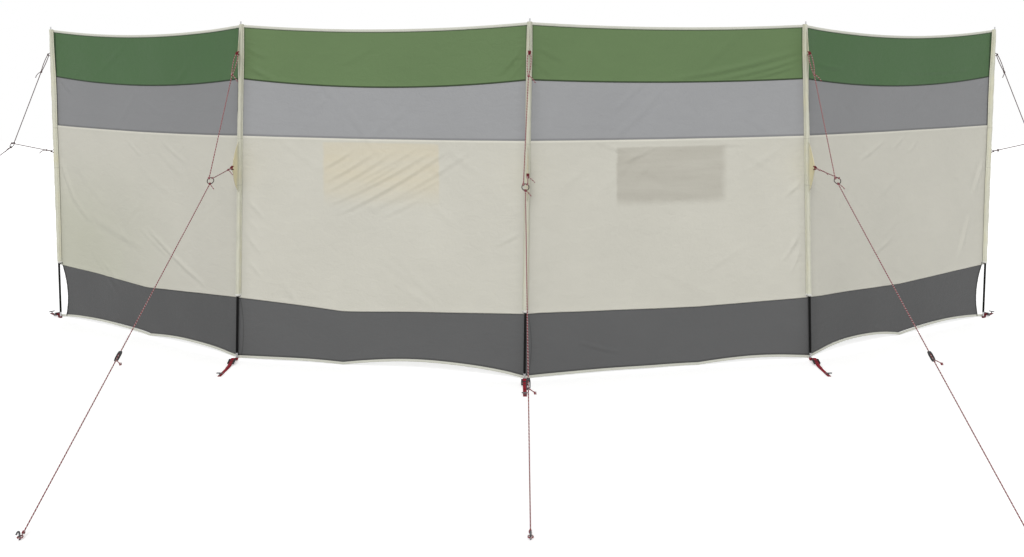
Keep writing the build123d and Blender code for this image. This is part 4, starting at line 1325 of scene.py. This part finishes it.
class WINDBREAK_OT_ropes(Operator):
    """Makes the five guy ropes: two legs to the ring, the main line to the peg, their knots and free ends."""

    bl_idname = "windbreak.ropes"
    bl_label = "Guy ropes"

    def execute(self, context):
        settings = context.scene.windbreak_ropes
        pale = tuple(settings.fleck)
        inner = cord_finish("guy_cord", tuple(settings.colour), pale, settings.fleck_pitch, settings.diameter)
        # The end poles' cord and its flecks are darker, as painted shade
        outer = cord_finish("end_guy_cord", tuple(settings.shaded_end_colour), tuple(0.3 * value for value in pale),
                            settings.fleck_pitch, settings.diameter)
        radius = settings.diameter / 2
        for pole in POLES:
            out, side = directions(GUY_HEADINGS[pole])
            grids = []
            legs = zip((LOWER_TAB, UPPER_TAB), SLEEVE_PULLS[pole], RING_KNOTS, LEG_LOOPS)
            for level, pull, angle, loop in legs:
                tip = tab_point(pole, level, sleeve_front(pole) + pull + TAB_REACH)
                grids += self.leg(tip, ring_point(pole, angle), loop, out, side, radius, level)
            start, end = main_line(pole)
            away = unit(side * 0.8 - UP * 0.4 + out * 0.3)
            grids += [
                cord_grid(straight(start, end, sag=settings.sag), side, radius),
                knot_grid(start, end - start, 0.0100, radius),
                tail_grid(start, away, 0.026, 0.010, radius * 0.9, out),
                *self.slider_tail(pole, side, radius),
                self.eye(pole, radius),
                knot_grid(end - unit(end - start) * 0.010, end - start, KNOT_SIZE, radius * 0.95),
            ]
            add_piece(f"guy_cord_{pole + 1}", grids, outer if pole in END_POLES else inner,
                      [f"guy_rope_{pole + 1}"])
        return {"FINISHED"}

    def leg(self, tip, ring, loop, out, side, radius, knot_turn):
        """Leg from a tab to the ring: a doubled loop through the tab, its knot with a free end, a single line
        and the knot at the ring."""
        doubled, spread = loop
        along = unit(ring - tip)
        join = tip + along * doubled
        share = np.linspace(0, 1, 24)[:, None]
        middle = tip - out * 0.003 + (join - tip + out * 0.003) * share
        strands = [middle + side * (hand * spread * np.sin(pi * share ** 0.7) ** 0.6) for hand in (-1, 1)]
        return [
            *[cord_grid(strand, side, radius * 0.95) for strand in strands],
            knot_grid(join, along, KNOT_SIZE, radius * 0.95, turn=knot_turn),
            tail_grid(join, unit(along * 0.5 + side), 0.030, 0.016, radius * 0.9, out),
            cord_grid(straight(join, ring), side, radius),
            knot_grid(ring, along, KNOT_SIZE, radius * 0.95),
        ]

    def slider_tail(self, pole, side, radius):
        """Free end of the main line below the slider: it leaves the end bar, bends away and is knotted."""
        centre, along = slider_place(pole)
        share = np.linspace(0, 1, 20)[:, None]
        normal = np.cross(side, along)
        path = (centre + along * (0.014 + 0.022 * share - 0.004 * share ** 2) + side * (0.021 * share ** 1.4)
                + normal * (-0.004 * np.sin(pi * share)))
        return [cord_grid(path, normal, radius * 0.9), knot_grid(path[-1], along, 0.0085, radius * 0.9)]

    def eye(self, pole, radius):
        """Eye of the main line round its peg: a flat ring of cord."""
        centre = guy_point(pole, eye_reach(pole), EYE_LEVEL)
        path = circle(centre, *directions(GUY_HEADINGS[pole]), EYE_RADIUS, 41)
        return cord_grid(path, UP, radius, around=10, closed_path=True)


class WINDBREAK_OT_rings(Operator):
    """Makes the rings where the legs of a guy rope meet its main line."""

    bl_idname = "windbreak.rings"
    bl_label = "Guy rings"

    def execute(self, context):
        material = steel_finish("ring_steel", (0.060, 0.050, 0.045), 0.10)
        grids = []
        for pole in POLES:
            centre, down, side = ring_frame(pole)
            path = circle(centre, down, side, RING_RADIUS, 49)
            grids.append(cord_grid(path, np.cross(down, side), RING_WIRE, around=14, closed_path=True))
        add_piece("guy_ring_set", grids, material, ["guy_rings"])
        return {"FINISHED"}


class WINDBREAK_OT_tabs(Operator):
    """Makes the webbing tabs on the sleeves that the guy ropes are tied to."""

    bl_idname = "windbreak.tabs"
    bl_label = "Guy tabs"

    def execute(self, context):
        red = context.scene.windbreak_fittings.webbing
        material = webbing_finish("tab_webbing", tuple(0.45 * value for value in red))
        grids = []
        half = (TAB_HEIGHT - TAB_THICKNESS) / 2
        upper = [(-0.003, half + 0.004), (0.0, half + 0.001), (0.004, half), (TAB_REACH - 0.002, half)]
        route = [*upper, (TAB_REACH, 0.0), *[(reach, -rise) for reach, rise in reversed(upper)]]
        for pole in POLES:
            out, side = directions(GUY_HEADINGS[pole])
            for level, pull in zip((LOWER_TAB, UPPER_TAB), SLEEVE_PULLS[pole]):
                front = tab_point(pole, level, sleeve_front(pole) + pull)
                path = smooth_path([front + out * reach + UP * rise for reach, rise in route], 36)
                grids.append(ribbon(path, side, TAB_WIDTH, TAB_THICKNESS))
        add_piece("guy_tab_set", grids, material, ["guy_tabs"])
        return {"FINISHED"}


class WINDBREAK_OT_sliders(Operator):
    """Makes the moulded sliders on the main lines."""

    bl_idname = "windbreak.sliders"
    bl_label = "Sliders"

    def execute(self, context):
        material = plastic_finish("slider_plastic", tuple(context.scene.windbreak_fittings.plastic))
        grids = []
        for pole in POLES:
            centre, along = slider_place(pole)
            side = heading(GUY_HEADINGS[pole] + 90)
            axes = [along, side, np.cross(along, side)]
            grids.append(self.link(centre, axes))
            for at, length in SLIDER_BARS:
                half = np.array([length, SLIDER_WIDTH / 2 - 0.001, 0.0034])
                grids.append(rounded_block(centre + along * at, axes, half, 0.45))
        add_piece("slider_set", grids, material, ["guy_sliders"])
        return {"FINISHED"}

    def link(self, centre, axes):
        """Long link round a window: for each way round, the section swings from the window's edge to the
        outer edge and back as a rounded oblong."""
        turn, swing = np.meshgrid(np.linspace(0, 2 * pi, 65), np.linspace(0, 2 * pi, 17), indexing="ij")
        outer_x, outer_y = oblong(turn, SLIDER_LENGTH / 2, SLIDER_WIDTH / 2, 0.55, 0.55)
        inner_x, inner_y = oblong(turn, 0.0122, 0.0034, 0.5, 0.5)
        inner_x = inner_x + 0.003
        swung, height = oblong(swing, 0.5, 0.0035, 0.6, 0.6)
        mix = 0.5 + swung
        x = inner_x + (outer_x - inner_x) * mix
        y = inner_y + (outer_y - inner_y) * mix
        local = np.stack([x, y, height], -1)
        return centre + local @ np.asarray(axes), np.stack([turn * 0.01, swing * 0.002], -1)


def strap_corners(pole):
    """Corners of a foot strap's middle line: its route is the distance out from the pole and the height."""
    reach = STRAP_REACHES[pole]
    crest = reach * CREST_SHARE + RISE_START
    fall = reach * FALL_SHARE + RISE_START
    route = ((0.007, 0.0012), (RISE_START + 0.004, 0.0014), (crest, STRAP_CREST + 0.001), (fall, 0.0016),
             ((fall + reach) / 2, 0.0012), (reach + 0.009, 0.0012))
    out = heading(STRAP_HEADINGS[pole])
    return [FEET[pole] + out * away + UP * rise for away, rise in route]


class WINDBREAK_OT_straps(Operator):
    """Makes the webbing foot straps: a loop round the pole's pin, the band through its buckle and its end."""

    bl_idname = "windbreak.straps"
    bl_label = "Foot straps"

    def execute(self, context):
        settings = context.scene.windbreak_fittings
        material = webbing_finish("strap_webbing", tuple(settings.webbing))
        grids = []
        for pole in POLES:
            out, side = directions(STRAP_HEADINGS[pole])
            foot = FEET[pole]
            corners = strap_corners(pole)
            dense = [corners[0]]
            for start, end in zip(corners[:-1], corners[1:]):
                dense += [start + (end - start) * share for share in (0.33, 0.67, 1.0)]
            grids.append(ribbon(smooth_path(dense, 64), side, settings.strap_width, STRAP_THICKNESS))
            crest, fall = corners[2:4]
            lift = UP * 0.0021
            loose = [crest + (fall - crest) * 0.20 + lift * 2.2, crest + (fall - crest) * 0.55 + lift * 1.9,
                     fall + lift * 1.6, fall + out * 0.016 + lift * 1.5, fall + out * 0.030 + lift * 0.95]
            grids.append(ribbon(smooth_path(loose, 30), side, settings.strap_width * 0.97, LOOSE_THICKNESS))
            turn = np.linspace(-LOOP_SWEEP, LOOP_SWEEP, 30)[:, None]
            loop = foot - out * (LOOP_RADIUS * np.cos(turn)) + side * (LOOP_RADIUS * np.sin(turn))
            loop = loop + UP * LOOP_LEVEL
            mouth = [foot + out * 0.013 + side * hand + UP * 0.0040 for hand in (-0.004, 0.004)]
            path = np.concatenate([mouth[:1], loop, mouth[1:]])
            grids.append(ribbon(path, UP, LOOP_WIDTH, TAB_THICKNESS))
        add_piece("foot_strap_set", grids, material, ["foot_straps"])
        return {"FINISHED"}


class WINDBREAK_OT_buckles(Operator):
    """Makes the ladder buckles: two side rails joined by three bars over the webbing."""

    bl_idname = "windbreak.buckles"
    bl_label = "Strap buckles"

    def execute(self, context):
        material = plastic_finish("buckle_plastic", tuple(context.scene.windbreak_fittings.plastic))
        rail = (BUCKLE_WIDTH - context.scene.windbreak_fittings.strap_width - 0.001) / 4
        bar = np.array([BUCKLE_BAR / 2, BUCKLE_WIDTH / 2 - 0.001, 0.0017])
        grids = []
        for pole in POLES:
            side = heading(STRAP_HEADINGS[pole] + 90)
            crest, fall = strap_corners(pole)[2:4]
            slope = unit(fall - crest)
            normal = np.cross(slope, side)
            axes = [slope, side, normal]
            centre = (crest + fall) / 2
            for hand in (-1, 1):
                middle = centre + side * (hand * (BUCKLE_WIDTH / 2 - rail)) + normal * 0.0022
                grids.append(rounded_block(middle, axes, np.array([BUCKLE_LENGTH / 2, rail, 0.0040]), 0.3))
            for at, rise in BUCKLE_BARS:
                grids.append(rounded_block(centre + slope * at + normal * rise, axes, bar, 0.4))
        add_piece("strap_buckle_set", grids, material, ["strap_buckles"])
        return {"FINISHED"}


class WINDBREAK_OT_pegs(Operator):
    """Makes the pegs that hold the guy ropes and the straps, as bent round wire."""

    bl_idname = "windbreak.pegs"
    bl_label = "Pegs"

    def execute(self, context):
        material = steel_finish("peg_steel_finish", (0.11, 0.11, 0.115), 0.15)
        grids = []
        for pole in POLES:
            out, side = directions(GUY_HEADINGS[pole])
            spot = guy_point(pole, GUY_REACHES[pole], 0.0)
            path = smooth_path([spot + out * reach + UP * rise for reach, rise in PEG_ROUTE], 60)
            grids.append(cord_grid(path, side, PEG_RADIUS))
            out, side = directions(STRAP_HEADINGS[pole])
            spot = FEET[pole] + out * STRAP_REACHES[pole]
            head = spot + UP * TOGGLE_HEIGHT
            shank = np.linspace(0, 1, 8)[:, None] * (head - spot) + spot
            bar = head + side * np.linspace(-TOGGLE_LENGTH / 2, TOGGLE_LENGTH / 2, 12)[:, None]
            grids.append(cord_grid(shank, out, PEG_RADIUS * 0.95))
            grids.append(cord_grid(bar, UP, PEG_RADIUS))
        add_piece("peg_set", grids, material, ["ground_pegs"])
        return {"FINISHED"}


class WINDBREAK_OT_stage(Operator):
    """Makes the floor, the light and the camera."""

    bl_idname = "windbreak.stage"
    bl_label = "Stage"

    def execute(self, context):
        settings = context.scene.windbreak_stage
        self.floor(settings)
        self.light(context, settings)
        self.camera(context, settings)
        context.scene.view_settings.view_transform = "Standard"
        return {"FINISHED"}

    def floor(self, settings):
        """Flat round floor, pale to the light, and lifted to white where it is seen, which keeps shadows."""
        finish = Finish("pale_floor")
        pale = finish.add("ShaderNodeBsdfDiffuse", {"Color": (0.80, 0.80, 0.80)})
        lift = finish.add("ShaderNodeEmission", {"Color": (1.0, 1.0, 1.0), "Strength": settings.floor_lift})
        both = finish.add("ShaderNodeAddShader", {0: pale, 1: lift})
        finish.close(finish.add("ShaderNodeMixShader", {0: finish.seen(), 1: pale, 2: both}))
        radius, turn = np.meshgrid(
            np.linspace(0, FLOOR_RADIUS, 8), np.linspace(0, 2 * pi, 65), indexing="ij")
        points = np.stack([radius * np.cos(turn), radius * np.sin(turn), 0 * radius - FLOOR_DROP], -1)
        faces = squares(np.arange(radius.size).reshape(radius.shape))[:, ::-1]
        mesh = bpy.data.meshes.new("floor")
        mesh.from_pydata(points.reshape(-1, 3).tolist(), [], faces.tolist())
        mesh.materials.append(finish.material)
        floor = bpy.data.objects.new("floor", mesh)
        bpy.context.scene.collection.objects.link(floor)

    def light(self, context, settings):
        """Even sky, white where it is seen, and two wide soft lights, above the viewer and from behind."""
        world = bpy.data.worlds.new("even_sky")
        world.use_nodes = True
        context.scene.world = world
        sky = Finish("even_sky", world)
        even = sky.add("ShaderNodeBackground", {"Color": (1.0, 1.0, 1.0), "Strength": settings.sky})
        white = sky.add("ShaderNodeBackground", {"Color": (1.0, 1.0, 1.0), "Strength": 1.0})
        sky.close(sky.add("ShaderNodeMixShader", {0: sky.seen(), 1: even, 2: white}))
        lamps = (
            ("front_light", settings.lamp, radians(-6)),
            ("back_light", settings.back_lamp, radians(170)))
        for name, strength, turn in lamps:
            lamp = bpy.data.lights.new(name, "SUN")
            lamp.energy = strength
            lamp.angle = settings.lamp_softness
            holder = bpy.data.objects.new(name, lamp)
            holder.rotation_euler = (pi / 2 - settings.lamp_height, 0.0, turn)
            context.scene.collection.objects.link(holder)

    def camera(self, context, settings):
        """Camera at the photograph's place, without roll, with its lens shifted to frame the object."""
        lens = bpy.data.cameras.new("camera")
        lens.sensor_width = 36.0
        lens.sensor_fit = "HORIZONTAL"
        lens.lens = settings.focal_length
        lens.shift_y = settings.shift
        lens.clip_end = 100.0
        holder = bpy.data.objects.new("camera", lens)
        holder.location = settings.camera_place
        holder.rotation_euler = (pi / 2 - settings.pitch, 0.0, 0.0)
        context.scene.collection.objects.link(holder)
        context.scene.camera = holder


STEPS = (
    WINDBREAK_OT_bands, WINDBREAK_OT_bindings, WINDBREAK_OT_sleeves, WINDBREAK_OT_pockets, WINDBREAK_OT_poles,
    WINDBREAK_OT_ropes, WINDBREAK_OT_rings, WINDBREAK_OT_tabs, WINDBREAK_OT_sliders, WINDBREAK_OT_straps,
    WINDBREAK_OT_buckles, WINDBREAK_OT_pegs, WINDBREAK_OT_stage)
GROUPS = (
    ("windbreak_cloth", ClothSettings), ("windbreak_ropes", RopeSettings),
    ("windbreak_fittings", FittingSettings), ("windbreak_stage", StageSettings))


class WINDBREAK_PT_panel(Panel):
    """Lists the settings and the steps that build the windbreak."""

    bl_idname = "WINDBREAK_PT_panel"
    bl_label = "Windbreak"
    bl_space_type = "VIEW_3D"
    bl_region_type = "UI"
    bl_category = "Windbreak"

    def draw(self, context):
        for name, group in GROUPS:
            box = self.layout.box()
            for setting in group.__annotations__:
                box.prop(getattr(context.scene, name), setting)
        for step in STEPS:
            self.layout.operator(step.bl_idname)


def register():
    for name, group in GROUPS:
        bpy.utils.register_class(group)
        setattr(bpy.types.Scene, name, PointerProperty(type=group))
    for step in STEPS:
        bpy.utils.register_class(step)
    bpy.utils.register_class(WINDBREAK_PT_panel)


def unregister():
    bpy.utils.unregister_class(WINDBREAK_PT_panel)
    for step in reversed(STEPS):
        bpy.utils.unregister_class(step)
    for name, group in reversed(GROUPS):
        delattr(bpy.types.Scene, name)
        bpy.utils.unregister_class(group)


def plain(box):
    """A box as plain lists of numbers."""
    return [[float(value) for value in end] for end in box]


def main():
    register()
    for step in STEPS:
        group, name = step.bl_idname.split(".")
        result = getattr(getattr(bpy.ops, group), name)()
        if result != {"FINISHED"}:
            raise RuntimeError(f"{step.bl_idname} did not finish")


if __name__ == "__main__":
    main()
